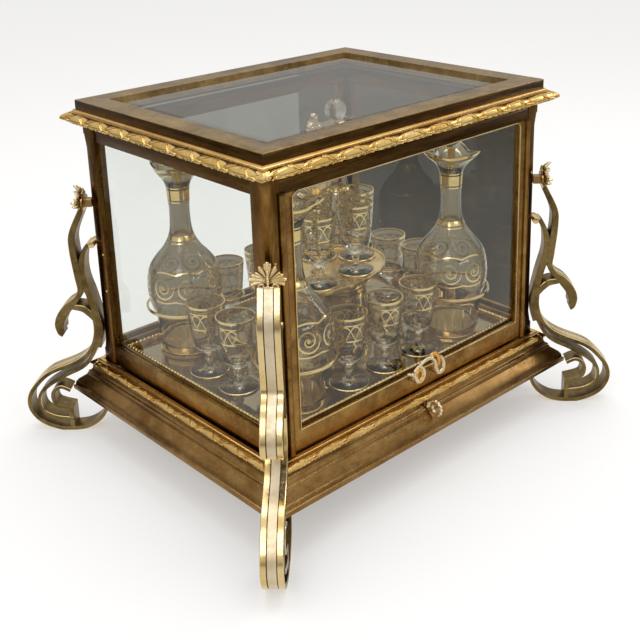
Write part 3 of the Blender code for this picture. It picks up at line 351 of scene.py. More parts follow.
def decanter_gilding(f):
    """Lip line and loops, neck band, shoulder ring, scroll medallions and lines in the low flutes."""
    around, up = f.turned()
    outside = up < 1.5
    lip = up > 0.982
    loops = abs(up - 0.915 - 0.045 * abs((3 * math.pi * (around + 0.1667)).sine())) < 0.004
    neck = any_of(band(up, 0.795, 0.803), band(up, 0.812, 0.862), band(up, 0.870, 0.877))
    shoulder = band(up, 0.600, 0.622).or_else(band(up, 0.585, 0.590))
    foot = band(up, 0.004, 0.040).or_else(band(up, 0.190, 0.197))
    across = ((9 * around).fraction() - 0.5) * 2.0
    rise = (up - 0.385) * 15.0
    reach = (across * across + rise * rise) ** 0.5
    lean = f.node("ShaderNodeMath", {"operation": "ARCTAN2"}, {0: rise, 1: across}) / math.tau
    scroll = ((reach * 2.3 - lean + 4).fraction() < 0.17 + 0.16 * reach) * (reach < 0.92)
    hub = reach < 0.13
    border = abs(abs(rise) - 1.02 - 0.16 * abs((math.pi * 9 * around).sine())) < 0.055
    flutes = (abs((20 * around).fraction() - 0.5) < 0.045) * band(up, 0.045, 0.165)
    return any_of(lip, loops, neck, shoulder, foot, scroll, hub, border, flutes) * outside


def stopper_gilding(f):
    """Gilt stem under a clear ball."""
    return band(f.turned()[1], 0.90, 1.012)


def silvering():
    """Old mirror plate: grey foxing spots and a bronze cast."""
    f = Finish("silvering")
    fox = f.level(f.cloud(46, 9.0, 0.72), 0.56, 0.72)
    dust = f.level(f.cloud(300, 3.0, 0.6), 0.55, 0.8)
    colour = f.blend(fox * 0.75, (0.37, 0.29, 0.175), (0.10, 0.070, 0.035))
    roughness = f.level(fox + 0.4 * dust, 0.0, 1.0, 0.05, 0.42)
    return f.surface(f.principled(Base_Color=colour, Metallic=1.0, Roughness=roughness))


UPRIGHT, LEVEL = (3.0, 3.0, 0.5), (0.6, 0.6, 5.0)
case_bronze = worn_bronze(
    "case bronze", (0.100, 0.042, 0.009), (0.265, 0.128, 0.030), (0.58, 0.36, 0.10), 0.34, 0.21, UPRIGHT,
)
door_bronze = worn_bronze(
    "door bronze", (0.140, 0.064, 0.014), (0.350, 0.185, 0.048), (0.64, 0.42, 0.13), 0.40, 0.22,
)
# Painted shade: a darker copy of the bronze for faces under the cornice, namely the upper rails, the top frame's
# fascia and the door's top rail.
painted_shade_rail_bronze = worn_bronze(
    "painted shade rail bronze", (0.050, 0.023, 0.006), (0.130, 0.064, 0.017), (0.36, 0.21, 0.06), 0.26, 0.24, LEVEL,
)
# Painted light: a paler copy of the bronze for the top frame, whose upward faces read lighter where the light falls,
# while its fascia takes the painted shade bronze.
painted_light_top_bronze = worn_bronze(
    "painted light top frame bronze", (0.180, 0.105, 0.036), (0.370, 0.245, 0.100), (0.62, 0.46, 0.23), 0.34, 0.24, (1.6, 1.6, 1.6),
)
plinth_bronze = worn_bronze(
    "plinth bronze", (0.165, 0.082, 0.024), (0.300, 0.168, 0.056), (0.50, 0.33, 0.13), 0.34, 0.19, (1.0, 1.0, 2.2),
)
side_bronze = worn_bronze(
    "leg side bronze", (0.085, 0.050, 0.015), (0.215, 0.148, 0.054), (0.50, 0.38, 0.17), 0.38, 0.25,
)
# Painted shade: a near-black bronze for the walls of the leg grooves and for the cornice ground between the laurel
# leaves.
painted_shade_hollow_bronze = worn_bronze(
    "painted shade hollow", (0.045, 0.019, 0.004), (0.120, 0.056, 0.012), (0.32, 0.18, 0.05), 0.3, 0.40,
)
ground_bronze = worn_bronze(
    "orange ground", (0.130, 0.056, 0.011), (0.330, 0.165, 0.036), (0.62, 0.38, 0.11), 0.4, 0.28, LEVEL,
)
# The last number of laurel, palmette and base laurel gold is the strength of their painted shade in the hollows.
laurel_gold = gilding("laurel gold", (0.15, 0.062, 0.010), (0.70, 0.44, 0.12), (0.88, 0.64, 0.26), 0.19, 0.07, 0.92)
leaf_gold = gilding("palmette gold", (0.28, 0.15, 0.04), (0.90, 0.70, 0.36), (0.97, 0.87, 0.62), 0.17, 0.06, 0.92)
fillet_gold = gilding("burnished gold", (0.30, 0.17, 0.05), (0.78, 0.56, 0.23), (0.90, 0.74, 0.42), 0.17, 0.05)
cove_gold = gilding("orange cove gold", (0.24, 0.10, 0.02), (0.66, 0.39, 0.12), (0.80, 0.54, 0.21), 0.28, 0.08)
matt_gold = gilding("matt gold", (0.42, 0.28, 0.13), (0.74, 0.60, 0.40), (0.88, 0.77, 0.57), 0.42, 0.45)
base_gold = gilding(
    "base laurel gold", (0.10, 0.040, 0.007), (0.62, 0.37, 0.10), (0.82, 0.57, 0.22), 0.20, 0.05, 0.97,
)
pale_gold = gilding("pale gold", (0.30, 0.17, 0.06), (0.74, 0.58, 0.36), (0.88, 0.77, 0.56), 0.24, 0.10)
bud_gold = gilding("orange gold", (0.25, 0.10, 0.02), (0.76, 0.40, 0.08), (0.90, 0.56, 0.18), 0.24, 0.10)
rack_gold = gilding("holder gold", (0.22, 0.12, 0.03), (0.66, 0.45, 0.15), (0.86, 0.66, 0.32), 0.18, 0.06)
pane = plate_glass()
goblet_glass = blown_glass("gilded goblet glass", glass_gilding, (0.95, 0.93, 0.87))
bottle_glass = blown_glass("gilded bottle glass", decanter_gilding, (0.92, 0.89, 0.81))
stopper_glass = blown_glass("stopper glass", stopper_gilding, (0.97, 0.97, 0.95))
silvered = silvering()


# Bench tools

def alone(piece=None):
    """Select this piece and nothing else."""
    bpy.ops.object.select_all(action="DESELECT")
    if piece:
        piece.select_set(True)
        bpy.context.view_layer.objects.active = piece


def coat(piece, *finishes):
    """Give a piece its finishes, and keep which face takes which."""
    taken = [face.material_index for face in piece.data.polygons]
    piece.data.materials.clear()
    for finish in finishes:
        piece.data.materials.append(finish)
    for face, index in zip(piece.data.polygons, taken):
        face.material_index = min(index, len(finishes) - 1)


def fit(piece, body, slot, *replaced):
    """Hang a finished piece on its body and hide the solids it stands for."""
    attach(piece, body)
    if replaced:
        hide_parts(*replaced)
    return piece


def settle(piece, place=(0, 0, 0), turn=0.0):
    """Put a piece in its place and leave its object at the origin."""
    alone(piece)
    piece.location = place
    piece.rotation_euler = (0, 0, turn)
    bpy.ops.object.transform_apply(location=True, rotation=True, scale=True)
    return piece


def twin(piece, name, place=(0, 0, 0), turn=0.0):
    """Copy a piece, with its own mesh, to another place."""
    alone(piece)
    bpy.ops.object.duplicate(linked=False)
    made = bpy.context.object
    made.name = name
    return settle(made, place, turn)


def gather(name, pieces):
    """Join pieces into one."""
    alone(pieces[0])
    for piece in pieces:
        piece.select_set(True)
    bpy.ops.object.join()
    pieces[0].name = name
    return pieces[0]


def close_and_face_out(seam=0.000004, ends=False, smooth=35):
    """Merge the seams of the piece in hand, close its ends, face it out and smooth what isn't an arris."""
    bpy.ops.object.mode_set(mode="EDIT")
    bpy.ops.mesh.select_all(action="SELECT")
    bpy.ops.mesh.remove_doubles(threshold=seam)
    if ends:
        bpy.ops.mesh.fill_holes(sides=0)
    bpy.ops.mesh.select_all(action="SELECT")
    bpy.ops.mesh.normals_make_consistent(inside=False)
    bpy.ops.object.mode_set(mode="OBJECT")
    bpy.ops.object.shade_smooth_by_angle(angle=math.radians(smooth))


def bevel(piece, width):
    """Ease the arrises."""
    alone(piece)
    tool = piece.modifiers.new("arris", "BEVEL")
    tool.width = width
    tool.segments = 2
    tool.limit_method = "ANGLE"
    tool.angle_limit = math.radians(40)
    bpy.ops.object.modifier_apply(modifier=tool.name)
    return piece


def flowing(points, steps):
    """A smooth run through the points."""
    run = []
    last = len(points) - 1
    for step in range(steps):
        index, t = divmod(step * last / steps, 1)
        group = [points[min(max(int(index) + shift, 0), last)] for shift in (-1, 0, 1, 2)]
        weights = (
            -t / 2 + t * t - t ** 3 / 2, 1 - 5 * t * t / 2 + 3 * t ** 3 / 2,
            t / 2 + 2 * t * t - 3 * t ** 3 / 2, -t * t / 2 + t ** 3 / 2,
        )
        run.append(tuple(sum(w * p for w, p in zip(weights, axis)) for axis in zip(*group)))
    run.append(tuple(points[-1]))
    return run


def on_the_lathe(name, profile, steps):
    """Turn a profile of (radius, height): a point is drawn out along it and spun round the upright axis."""
    alone()
    bpy.ops.mesh.primitive_plane_add(size=0.001, location=(0, 0, 0))
    piece = bpy.context.object
    piece.name = name
    bpy.ops.object.mode_set(mode="EDIT")
    bpy.ops.mesh.merge(type="CENTER")
    bpy.ops.transform.translate(value=(profile[0][0], 0, profile[0][1]))
    for before, after in zip(profile, profile[1:]):
        step = (after[0] - before[0], 0, after[1] - before[1])
        bpy.ops.mesh.extrude_region_move(TRANSFORM_OT_translate={"value": step})
    bpy.ops.mesh.select_all(action="SELECT")
    bpy.ops.mesh.spin(steps=steps, angle=math.tau, center=(0, 0, 0), axis=(0, 0, 1))
    bpy.ops.object.mode_set(mode="OBJECT")
    close_and_face_out()
    return piece


def map_the_turn(piece, height):
    """Give a turned piece its own map: round the turn, up the height, the inner wall two heights higher."""
    mesh = piece.data
    layer = mesh.uv_layers.new(name="turned")
    for face in mesh.polygons:
        centre = face.center
        middle_angle = math.atan2(centre.y, centre.x)
        inside = face.normal.x * centre.x + face.normal.y * centre.y < -0.05 * math.hypot(centre.x, centre.y)
        for corner in face.loop_indices:
            spot = mesh.vertices[mesh.loops[corner].vertex_index].co
            turn = 0.0
            if math.hypot(spot.x, spot.y) > 1e-5:
                turn = math.remainder(math.atan2(spot.y, spot.x) - middle_angle, math.tau)
            layer.data[corner].uv = ((middle_angle + turn) / math.tau, spot.z / height + (2 if inside else 0))


def skin(name, sections, ends=True, smooth=35, finish_of=None):
    """Bend a grid over closed sections, one row each, and close its seam and ends."""
    rows, around = len(sections), len(sections[0])
    alone()
    bpy.ops.mesh.primitive_grid_add(x_subdivisions=around, y_subdivisions=rows - 1, size=1, location=(0, 0, 0))
    piece = bpy.context.object
    piece.name = name
    mesh = piece.data
    if finish_of:
        for face in mesh.polygons:
            face.material_index = finish_of[min(int((face.center.x + 0.5) * around), around - 1)]
    for vertex in mesh.vertices:
        column = round((vertex.co.x + 0.5) * around) % around
        row = round((vertex.co.y + 0.5) * (rows - 1))
        vertex.co = sections[row][column]
    close_and_face_out(0.0000005, ends, smooth)
    return piece


def round_bar(name, path, radii, flat=1.0, face=Vector((0, 1, 0)), sides=8, ends=True, smooth=60):
    """Sweep a round or flattened section along a path; flat scales it along the face direction."""
    path = [Vector(point) for point in path]
    sections = []
    for index, point in enumerate(path):
        along = path[min(index + 1, len(path) - 1)] - path[max(index - 1, 0)]
        if not ends:
            along = path[(index + 1) % len(path)] - path[index - 1]
        side = along.normalized().cross(face).normalized()
        front = side.cross(along.normalized())
        ring = []
        for step in range(sides):
            angle = math.tau * step / sides
            ring.append(point + radii[index] * (math.cos(angle) * side + flat * math.sin(angle) * front))
        sections.append(ring)
    if not ends:
        sections.append(sections[0])
    return skin(name, sections, ends, smooth)


def small_block(name, low, high, ease):
    """A bar or post with eased arrises."""
    alone()
    middle_point = [(a + b) / 2 for a, b in zip(low, high)]
    bpy.ops.mesh.primitive_cube_add(size=1, location=middle_point)
    piece = bpy.context.object
    piece.name = name
    piece.scale = [b - a for a, b in zip(low, high)]
    bpy.ops.object.transform_apply(location=True, rotation=True, scale=True)
    return bevel(piece, ease)


def peg(name, place, radius, depth, sides, ease):
    """A round peg lying front to back, its ends eased."""
    alone()
    bpy.ops.mesh.primitive_cylinder_add(
        vertices=sides, radius=radius, depth=depth, location=place, rotation=(math.pi / 2, 0, 0),
    )
    piece = bpy.context.object
    piece.name = name
    bpy.ops.object.transform_apply(location=True, rotation=True, scale=True)
    return bevel(piece, ease)


def mark_hollows(piece, depth_of):
    """Note how deep in the chasing each point lies, for the painted shade in its finish."""
    shade = piece.data.attributes.new("hollow", "FLOAT", "POINT")
    for mark, vertex in zip(shade.data, piece.data.vertices):
        mark.value = min(max(depth_of(vertex.co), 0.0), 1.0)


def pearl(name, place, radius, segments=10, rings=7):
    """A pearl, a little flattened where it sits."""
    alone()
    bpy.ops.mesh.primitive_uv_sphere_add(segments=segments, ring_count=rings, radius=radius, location=place)
    piece = bpy.context.object
    piece.name = name
    bpy.ops.object.mode_set(mode="EDIT")
    bpy.ops.transform.resize(value=(1.0, 1.0, 0.92), center_override=place)
    bpy.ops.object.mode_set(mode="OBJECT")
    bpy.ops.object.transform_apply(location=True, rotation=True, scale=True)
    bpy.ops.object.shade_smooth()
    return piece


def eased_solid(node, name, width, finish, body, slot, shaded=None, parting=None):
    """Stand-in for a plain solid with its arrises eased.

    The faces that shaded picks take the darker rail bronze, which is painted shade; faces are parted at the level
    given.
    """
    alone(nodes[node])
    bpy.ops.object.duplicate(linked=False)
    piece = bpy.context.object
    piece.name = name
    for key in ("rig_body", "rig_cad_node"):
        if key in piece:
            del piece[key]
    piece.parent = None
    piece.matrix_world = Matrix.Identity(4)
    bpy.ops.mesh.customdata_custom_splitnormals_clear()
    bpy.ops.object.mode_set(mode="EDIT")
    bpy.ops.mesh.select_all(action="SELECT")
    bpy.ops.mesh.remove_doubles(threshold=0.00002)
    bpy.ops.mesh.dissolve_limited(angle_limit=math.radians(2))
    bpy.ops.mesh.normals_make_consistent(inside=False)
    if parting:
        bpy.ops.mesh.select_all(action="SELECT")
        bpy.ops.mesh.bisect(plane_co=(0, 0, parting), plane_no=(0, 0, 1))
    bpy.ops.object.mode_set(mode="OBJECT")
    bevel(piece, width)
    bpy.ops.object.shade_smooth_by_angle(angle=math.radians(30))
    coat(piece, finish, *([painted_shade_rail_bronze] if shaded else []))
    for face in piece.data.polygons if shaded else ():
        face.material_index = int(shaded(face))
    return fit(piece, body, slot, node)


def is_fascia(face):
    """Whether a face of the top frame is on its outer edge."""
    outward = max(abs(face.center.x) / HALF_WIDTH, abs(face.center.y) / HALF_DEPTH)
    return abs(face.normal.z) < 0.5 and outward > 0.98


# Legs

SEAT = -0.00748
LEG_REACH = 0.075
LEG_WIDTH = 0.018


def leg_point(share, level):
    marks = (0, PLINTH_FOOT, CASE_FLOOR, LEAF_FOOT)
    floor = min(int(level), 2)
    height = marks[floor] + (level - floor) * (marks[floor + 1] - marks[floor])
    return SEAT + share * (LEG_REACH - SEAT), height


def leg_ribbon(name, run, inward, grooved, half):
    """One cast ribbon of a leg: eased arrises, and a matt channel between two fillets on its face."""
    ease, third, sunk = 0.0005, 0.0041, 0.0004
    sections = []
    for index, (out, z, thick) in enumerate(run):
        before, after = run[max(index - 1, 0)], run[min(index + 1, len(run) - 1)]
        along = Vector((after[0] - before[0], after[1] - before[1])).normalized()
        deep = Vector((along.y, -along.x)) * inward
        face = [(-half + ease, 0), (half - ease, 0)]
        if grooved:
            face = [
                (-half + ease, 0), (-third - 0.0002, 0), (-third, 0.0011), (-third + 0.0003, 0.0011),
                (-third + 0.0006, sunk), (third - 0.0006, sunk), (third - 0.0003, 0.0011), (third, 0.0011),
                (third + 0.0002, 0), (half - ease, 0),
            ]
        ring = face + [(half, ease), (half, thick - ease), (half - ease, thick), (ease - half, thick)]
        ring += [(-half, thick - ease), (-half, ease)]
        sections.append([(out + d * deep.x, side, max(z + d * deep.y, 0.0)) for side, d in ring])
    # Finish 3, on the walls of the groove, is painted shade.
    finishes = [0, 0, 3, 3, 1, 3, 3, 0, 0, 0, 2, 2, 2, 2, 2, 0] if grooved else [2, 0, 2, 2, 2, 2, 2, 0]
    return skin(name, sections, True, 35, finishes)


def run_of(points, thick, steps):
    controls = [(*leg_point(*point), LEG_WIDTH * t) for point, t in zip(points, thick)]
    return [(out, max(z, 0), t) for out, z, t in flowing(controls, steps)]


def scroll_leg():
    """One leg in its own plane: out along X, width along Y."""
    half = LEG_WIDTH / 2
    thin = 0.20
    start = (math.sqrt(2) * 0.0212 + GAP, PLINTH_FOOT + LEG_WIDTH * thin, LEG_WIDTH * thin)
    hook = [start] + [(*leg_point(*point), LEG_WIDTH * thin) for point in inner]
    pieces = [
        leg_ribbon("outer ribbon", run_of(outer, outer_thick, 110), 1, True, half),
        leg_ribbon("middle ribbon", run_of(middle, (thin,) * len(middle), 60), -1, False, half - 0.00022),
        leg_ribbon("hook ribbon", flowing(hook, 36), 1, False, half - 0.00030),
        leg_ribbon("branch b", run_of(branch_b, branch_b_thick, 48), -1, False, half - 0.00012),
        leg_ribbon("arch", run_of(arch, arch_thick, 18), 1, False, half - 0.00018),
        leg_ribbon("branch a", run_of(branch_a, branch_a_thick, 80), 1, True, half - 0.00006),
    ]
    low, high = leg_point(0.455, 0.04), leg_point(0.515, 0.60)
    bar_half = half - 0.00035
    bar = small_block("heel bar", (low[0], -bar_half, low[1]), (low[0] + 0.005, bar_half, high[1]), 0.0006)
    centre = leg_point(0, branch_b[0][1])
    roll = peg("roll", (centre[0] + 0.0031, 0, centre[1]), 0.0031, LEG_WIDTH, 24, 0.0006)
    pieces += [bar, roll]
    for piece in pieces:
        coat(piece, fillet_gold, matt_gold, side_bronze, painted_shade_hollow_bronze)
    for face in bar.data.polygons:
        face.material_index = 2
    alone(roll)
    bpy.ops.object.shade_smooth_by_angle(angle=math.radians(35))
    return gather("scroll leg", pieces)


def gadroon(name, root, tip, width, proud, curl, steps=12):
    """One swelling lobe of a palmette, from its root to a full tip that curls forward."""
    sections = []
    root, tip = Vector(root), Vector(tip)
    along = (tip - root).normalized()
    side = Vector((1, 0, 0)).cross(along).normalized()
    for step in range(steps + 1):
        share = step / steps
        swell = (0.22 + 0.78 * share ** 0.8) * math.sqrt(max(1 - max(share - 0.62, 0.0) ** 2 / 0.1444, 0.0))
        half = max(width * swell, 0.00004)
        middle_point = root + (tip - root) * share + Vector((curl * share ** 2.5, 0, 0))
        ring = []
        for turn in range(12):
            angle = math.tau * turn / 12
            up = math.sin(angle)
            height = proud * (0.45 + 0.55 * swell) * (up if up > 0 else 0.5 * up) * min(swell * 3, 1.0)
            ring.append(middle_point + side * (half * math.cos(angle)) + Vector((height, 0, 0)))
        sections.append(ring)
    return skin(name, sections, True, 70)


def palmette():
    """Leaf at a leg's top: five gadrooned lobes, a beaded rib, two volutes and a base band."""
    centre = LEAF_FOOT + 0.0050
    pieces = []
    lobes = [(0, 0.0176, 0.0027, 0.0026, 0.0050)]
    for sign in (-1, 1):
        lobes += [
            (sign * 9, 0.0150, 0.0015, 0.0021, 0.0022), (sign * 26, 0.0148, 0.0018, 0.0023, 0.0034),
            (sign * 35, 0.0122, 0.0014, 0.0019, 0.0014), (sign * 51, 0.0124, 0.0015, 0.0020, 0.0016),
            (sign * 62, 0.0138, 0.0019, 0.0024, 0.0030), (sign * 77, 0.0152, 0.0026, 0.0030, 0.0046),
            (sign * 95, 0.0134, 0.0024, 0.0028, 0.0042), (sign * 113, 0.0088, 0.0015, 0.0020, 0.0016),
        ]
    for number, (lean, reach, width, proud, curl) in enumerate(lobes):
        angle = math.radians(lean)
        base = (0.0020, 0.0014 * math.sin(angle), centre + 0.0014 * math.cos(angle))
        tip = (0.0016, reach * math.sin(angle), centre + reach * math.cos(angle))
        pieces.append(gadroon("lobe %d" % number, base, tip, width, proud, curl))
    for sign in (-1, 1):
        turns = []
        for step in range(22):
            angle = math.radians(-100 + 22 * step)
            reach = 0.0028 * (1 - step / 30)
            aside, rise = 0.0050 + reach * math.cos(angle), -0.0040 + reach * math.sin(angle)
            turns.append((0.0036 + 0.00003 * step, sign * aside, centre + rise))
        radii = [0.00085 * (1 - step / 60) for step in range(22)]
        pieces.append(round_bar("volute", turns, radii, face=Vector((1, 0, 0))))
    for bead in range(7):
        rise = 0.0021 * bead
        ahead = 0.0052 + 0.00004 * bead * bead
        pieces.append(pearl("rib bead", (ahead, 0, centre - 0.0030 + rise), 0.00122 - 0.00005 * bead))
    band_path = [
        (0.0030, -0.0040 + 0.0008 * step, centre - 0.0052 - 0.0005 * math.sin(math.pi * step / 10))
        for step in range(11)
    ]
    pieces.append(round_bar("base band", band_path, [0.0013] * 11, face=Vector((1, 0, 0))))
    outline = (
        (0, 0.0145), (14, 0.0098), (25, 0.0115), (42, 0.0078), (55, 0.0098), (75, 0.0115), (92, 0.0104),
        (116, 0.0060),
    )
    ground = []
    for index in range(48):
        lean = -116 + 232 * index / 47
        for (low, near), (high, far) in zip(outline, outline[1:]):
            if low <= abs(lean) <= high:
                reach = near + (far - near) * (abs(lean) - low) / (high - low)
        ground.append((reach * math.sin(math.radians(lean)), centre + reach * math.cos(math.radians(lean))))
    sections = []
    for deep, share in ((-0.0002, 0.94), (0.0, 1.0), (0.0014, 1.0), (0.0026, 0.78)):
        sections.append([(deep, share * t, centre + share * (z - centre)) for t, z in ground])
    pieces.append(skin("leaf ground", sections, True, 40))
    pieces.append(small_block("boss", (SEAT, -0.004, centre - 0.004), (0.0015, 0.004, centre + 0.004), 0.0008))
    whole = gather("palmette", pieces)
    mark_hollows(whole, lambda spot: (0.0043 - spot.x) / 0.0022)
    for vertex in whole.data.vertices:
        vertex.co.x = max(1.35 * vertex.co.x - 0.0006, vertex.co.x)
    coat(whole, leaf_gold)
    return whole


leg = scroll_leg()
leaf = palmette()
for corner, sign_x, sign_y in CORNERS:
    at = (sign_x * HALF_WIDTH, sign_y * HALF_DEPTH, 0)
    facing = math.atan2(sign_y, sign_x)
    fit(twin(leg, "scroll_leg_" + corner, at, facing), "cabinet", "polished_gilt", "leg_" + corner)
    fit(twin(leaf, "palmette_" + corner, at, facing), "cabinet", "gilt_bronze", "leg_leaf_" + corner)
bpy.data.objects.remove(leg)
bpy.data.objects.remove(leaf)


# Laurel mouldings

BAND_SHAPE = ((0.0, 0.30), (0.07, 0.80), (0.22, 0.99), (0.42, 1.0), (0.62, 0.92), (0.82, 0.72), (1.0, 0.46))


def band_out(share):
    """How far a moulding stands out at a share of its height."""
    share = min(max(share, 0.0), 1.0)
    for (low, first), (high, second) in zip(BAND_SHAPE, BAND_SHAPE[1:]):
        if share <= high:
            return first + (second - first) * (share - low) / (high - low)
    return BAND_SHAPE[-1][1]


def laurel_bunch(name, bottom, height, projection, pitch, slim, finish):
    """One tie of laurel along a band: a broad leaf over a lower one with curled edges, a tendril and berries."""
    scale = height / LAUREL_HEIGHT

    def on_band(s, t, proud):
        out = projection * band_out(t)
        lean = projection * (band_out(t + 0.03) - band_out(t - 0.03)) / (0.06 * height)
        normal = Vector((1.0, -lean)).normalized()
        level = bottom + min(max(t, 0.0), 1.02) * height + proud * normal.y
        return Vector((s, -(out + proud * normal.x), max(level, bottom + 0.0002)))

    leaves = (
        (0.06, 0.44, 1.16, 0.70, 0.40, 0.0017, 0.05, 0.2), (0.20, 0.16, 1.20, 0.30, 0.24, 0.0022, -0.06, 1.0),
        (0.52, 0.80, 0.98, 0.40, 0.13, 0.0026, 0.10, 0.7), (-0.06, 0.56, 0.32, 0.90, 0.14, 0.0021, 0.04, 0.5),
    )
    pieces = []
    for number, (s0, t0, s1, t1, half, proud, sway, curled) in enumerate(leaves):
        sections = []
        rows, columns = 18, 8
        for row in range(rows + 1):
            share = row / rows
            s = (s0 + (s1 - s0) * share) * pitch
            t = t0 + (t1 - t0) * share * share * (3 - 2 * share) + sway * math.sin(math.tau * share)
            swell = 0.10 + 0.90 * math.sin(math.pi * min(0.10 + 0.84 * share, 1.0)) ** 0.8
            width = slim * half * swell * (1 - share ** 7)
            rise = proud * scale * (0.55 + 0.45 * math.sin(math.pi * (0.1 + 0.8 * share)))
            top, under = [], []
            for column in range(columns + 1):
                across = 2 * column / columns - 1
                dome = 1 - 0.55 * abs(across) ** 2
                groove = 0.30 * math.exp(-(across / 0.18) ** 2)
                curl = curled * 0.55 * max(-across, 0.0) ** 4
                ribs = 0.05 * math.sin(9 * math.tau * share + 4 * abs(across)) * abs(across) * (slim == 1)
                along_s = s - 0.05 * pitch * across * across * (1 - share)
                top.append(on_band(along_s, t + width * across, rise * (dome - groove + curl + ribs)))
                under.append(on_band(along_s, t + width * across * 0.86, -0.0005))
            sections.append(top + under[::-1])
        pieces.append(skin("leaf %d" % number, sections, True, 50))
    berries = ((0.10, 0.36, 0.00135), (0.155, 0.14, 0.0012), (0.03, 0.16, 0.0010), (0.62, 0.10, 0.0008))
    for number, (s, t, radius) in enumerate(berries):
        spot = on_band(s * pitch, t, 0.0013 * scale)
        spot.z = max(spot.z, bottom + 0.0002 + radius * scale)
        pieces.append(pearl("berry %d" % number, tuple(spot), radius * scale))
    bunch = gather(name, pieces)

    def depth_of(spot):
        ground = projection * band_out((spot.z - bottom) / height)
        return 1 - (-spot.y - ground) / (0.0009 * scale)

    mark_hollows(bunch, depth_of)
    coat(bunch, finish)
    return bunch


def moulding_ground(name, bottom, height, projection, cove, cad_name, finish):
    """The band behind the laurel, mitred round the case: a darker ground, and a plain gold cove above it."""
    top = bottom + height
    profile = [(-0.002, bottom)] + [(projection * out, bottom + share * height) for share, out in BAND_SHAPE]
    reach = projection * BAND_SHAPE[-1][1]
    profile += [
        (reach + 0.0004, top), (reach + 0.0006, top + 0.0006), (reach * 0.72, top + 0.35 * cove),
        (reach * 0.40, top + 0.75 * cove), (reach * 0.34, top + cove), (-0.002, top + cove),
    ]
    sections = []
    for sign_x, sign_y in ((-1, -1), (1, -1), (1, 1), (-1, 1), (-1, -1)):
        sections.append([(sign_x * (HALF_WIDTH + out), sign_y * (HALF_DEPTH + out), z) for out, z in profile])
    finishes = [0] * len(BAND_SHAPE) + [1] * 6 + [0]
    band_piece = skin(name, sections, False, 40, finishes)
    coat(band_piece, finish, cove_gold)
    return fit(band_piece, "cabinet", "gilt_bronze", cad_name)


def laurel_band(level_name, bottom, height, projection, slim, finish):
    """Laurel round the four sides of a band, mitred with a wrapped leaf at each corner."""
    sides = (
        ("front", 2 * HALF_WIDTH, (0, -HALF_DEPTH), 0.0), ("right", 2 * HALF_DEPTH, (HALF_WIDTH, 0), math.pi / 2),
        ("back", 2 * HALF_WIDTH, (0, HALF_DEPTH), math.pi), ("left", 2 * HALF_DEPTH, (-HALF_WIDTH, 0), -math.pi / 2),
    )
    for side, length, (x, y), turn in sides:
        count = round(length / 0.0355)
        pitch = length / count
        bunch = laurel_bunch("bunch", bottom, height, projection, pitch, slim, finish)
        run = []
        for number in range(count):
            at = Vector((-length / 2 + pitch * number, 0, 0))
            at.rotate(Matrix.Rotation(turn, 3, "Z"))
            if number in (0, count - 1):
                copy = twin(bunch, "bunch %d" % number)
                trim_at_mitre(copy, pitch, number == 0)
                run.append(settle(copy, (x + at.x, y + at.y, 0), turn))
            else:
                run.append(twin(bunch, "bunch %d" % number, (x + at.x, y + at.y, 0), turn))
        bpy.data.objects.remove(bunch)
        band_piece = gather("%s_laurel_%s" % (level_name, side), run)
        fit(band_piece, "cabinet", "gilt_bronze")
    wrap = corner_wrap(bottom, height, projection, finish)
    for corner, sign_x, sign_y in CORNERS:
        at = (sign_x * HALF_WIDTH, sign_y * HALF_DEPTH, 0)
        copy = twin(wrap, "%s_corner_leaf_%s" % (level_name, corner), at, math.atan2(sign_y, sign_x))
        fit(copy, "cabinet", "gilt_bronze")
    bpy.data.objects.remove(wrap)


def trim_at_mitre(piece, pitch, first):
    """Cut the first or last bunch of a side off at the mitre."""
    alone(piece)
    bpy.ops.object.mode_set(mode="EDIT")
    bpy.ops.mesh.select_all(action="SELECT")
    if first:
        bpy.ops.mesh.bisect(plane_co=(0, 0, 0), plane_no=(1, -1, 0), use_fill=True, clear_inner=True)
    else:
        bpy.ops.mesh.bisect(plane_co=(pitch, 0, 0), plane_no=(1, 1, 0), use_fill=True, clear_outer=True)
    bpy.ops.object.mode_set(mode="OBJECT")


def corner_wrap(bottom, height, projection, finish):
    """A broad leaf folded over the mitre, its ribs running down the arris."""
    sections = []
    rows, columns = 12, 16
    for row in range(rows + 1):
        share = row / rows
        out = projection * band_out(share)
        z = bottom + height * share
        reach = 1.25 * height * (0.45 + 0.55 * math.sin(math.pi * (0.12 + 0.76 * share)))
        top, under = [], []
        for column in range(columns + 1):
            across = 2 * column / columns - 1
            rib = 0.0009 + 0.0007 * abs(math.cos(3.0 * math.pi * across)) + 0.0006 * (1 - abs(across))
            rib *= height / LAUREL_HEIGHT
            side_way = across * reach / math.sqrt(2)
            diagonal = math.sqrt(2) * out + rib * 1.1 - abs(side_way)
            top.append((diagonal, side_way, z))
            under.append((diagonal - 0.0026, side_way * 0.94, z))
        sections.append(top + under[::-1])
    wrap = skin("corner leaf", sections, True, 45)
    mark_hollows(wrap, lambda spot: 0.1)
    coat(wrap, finish)
    return wrap


CORNICE = (0.3147, LAUREL_HEIGHT, 0.0092)
BASE = (0.0680, 0.0052, 0.0066)
# The cornice ground takes the near-black painted shade bronze, seen between its laurel leaves.
moulding_ground("cornice_ground", *CORNICE, 0.0031, "cornice_moulding", painted_shade_hollow_bronze)
moulding_ground("base_ground", *BASE, 0.0013, "base_moulding", ground_bronze)
laurel_band("cornice", *CORNICE, 1, laurel_gold)
laurel_band("base", *BASE, 0.74, base_gold)


# Glassware

def shares_profile(outer_shares, inner_shares, radius, height, steps, floor):
    walls = flowing(outer_shares, steps) + flowing(inner_shares, steps * 2 // 3)
    profile = [(0, 0)] + [(radius * max(r, 0.02), height * h) for r, h in walls]
    return profile + [(0, height * floor)]


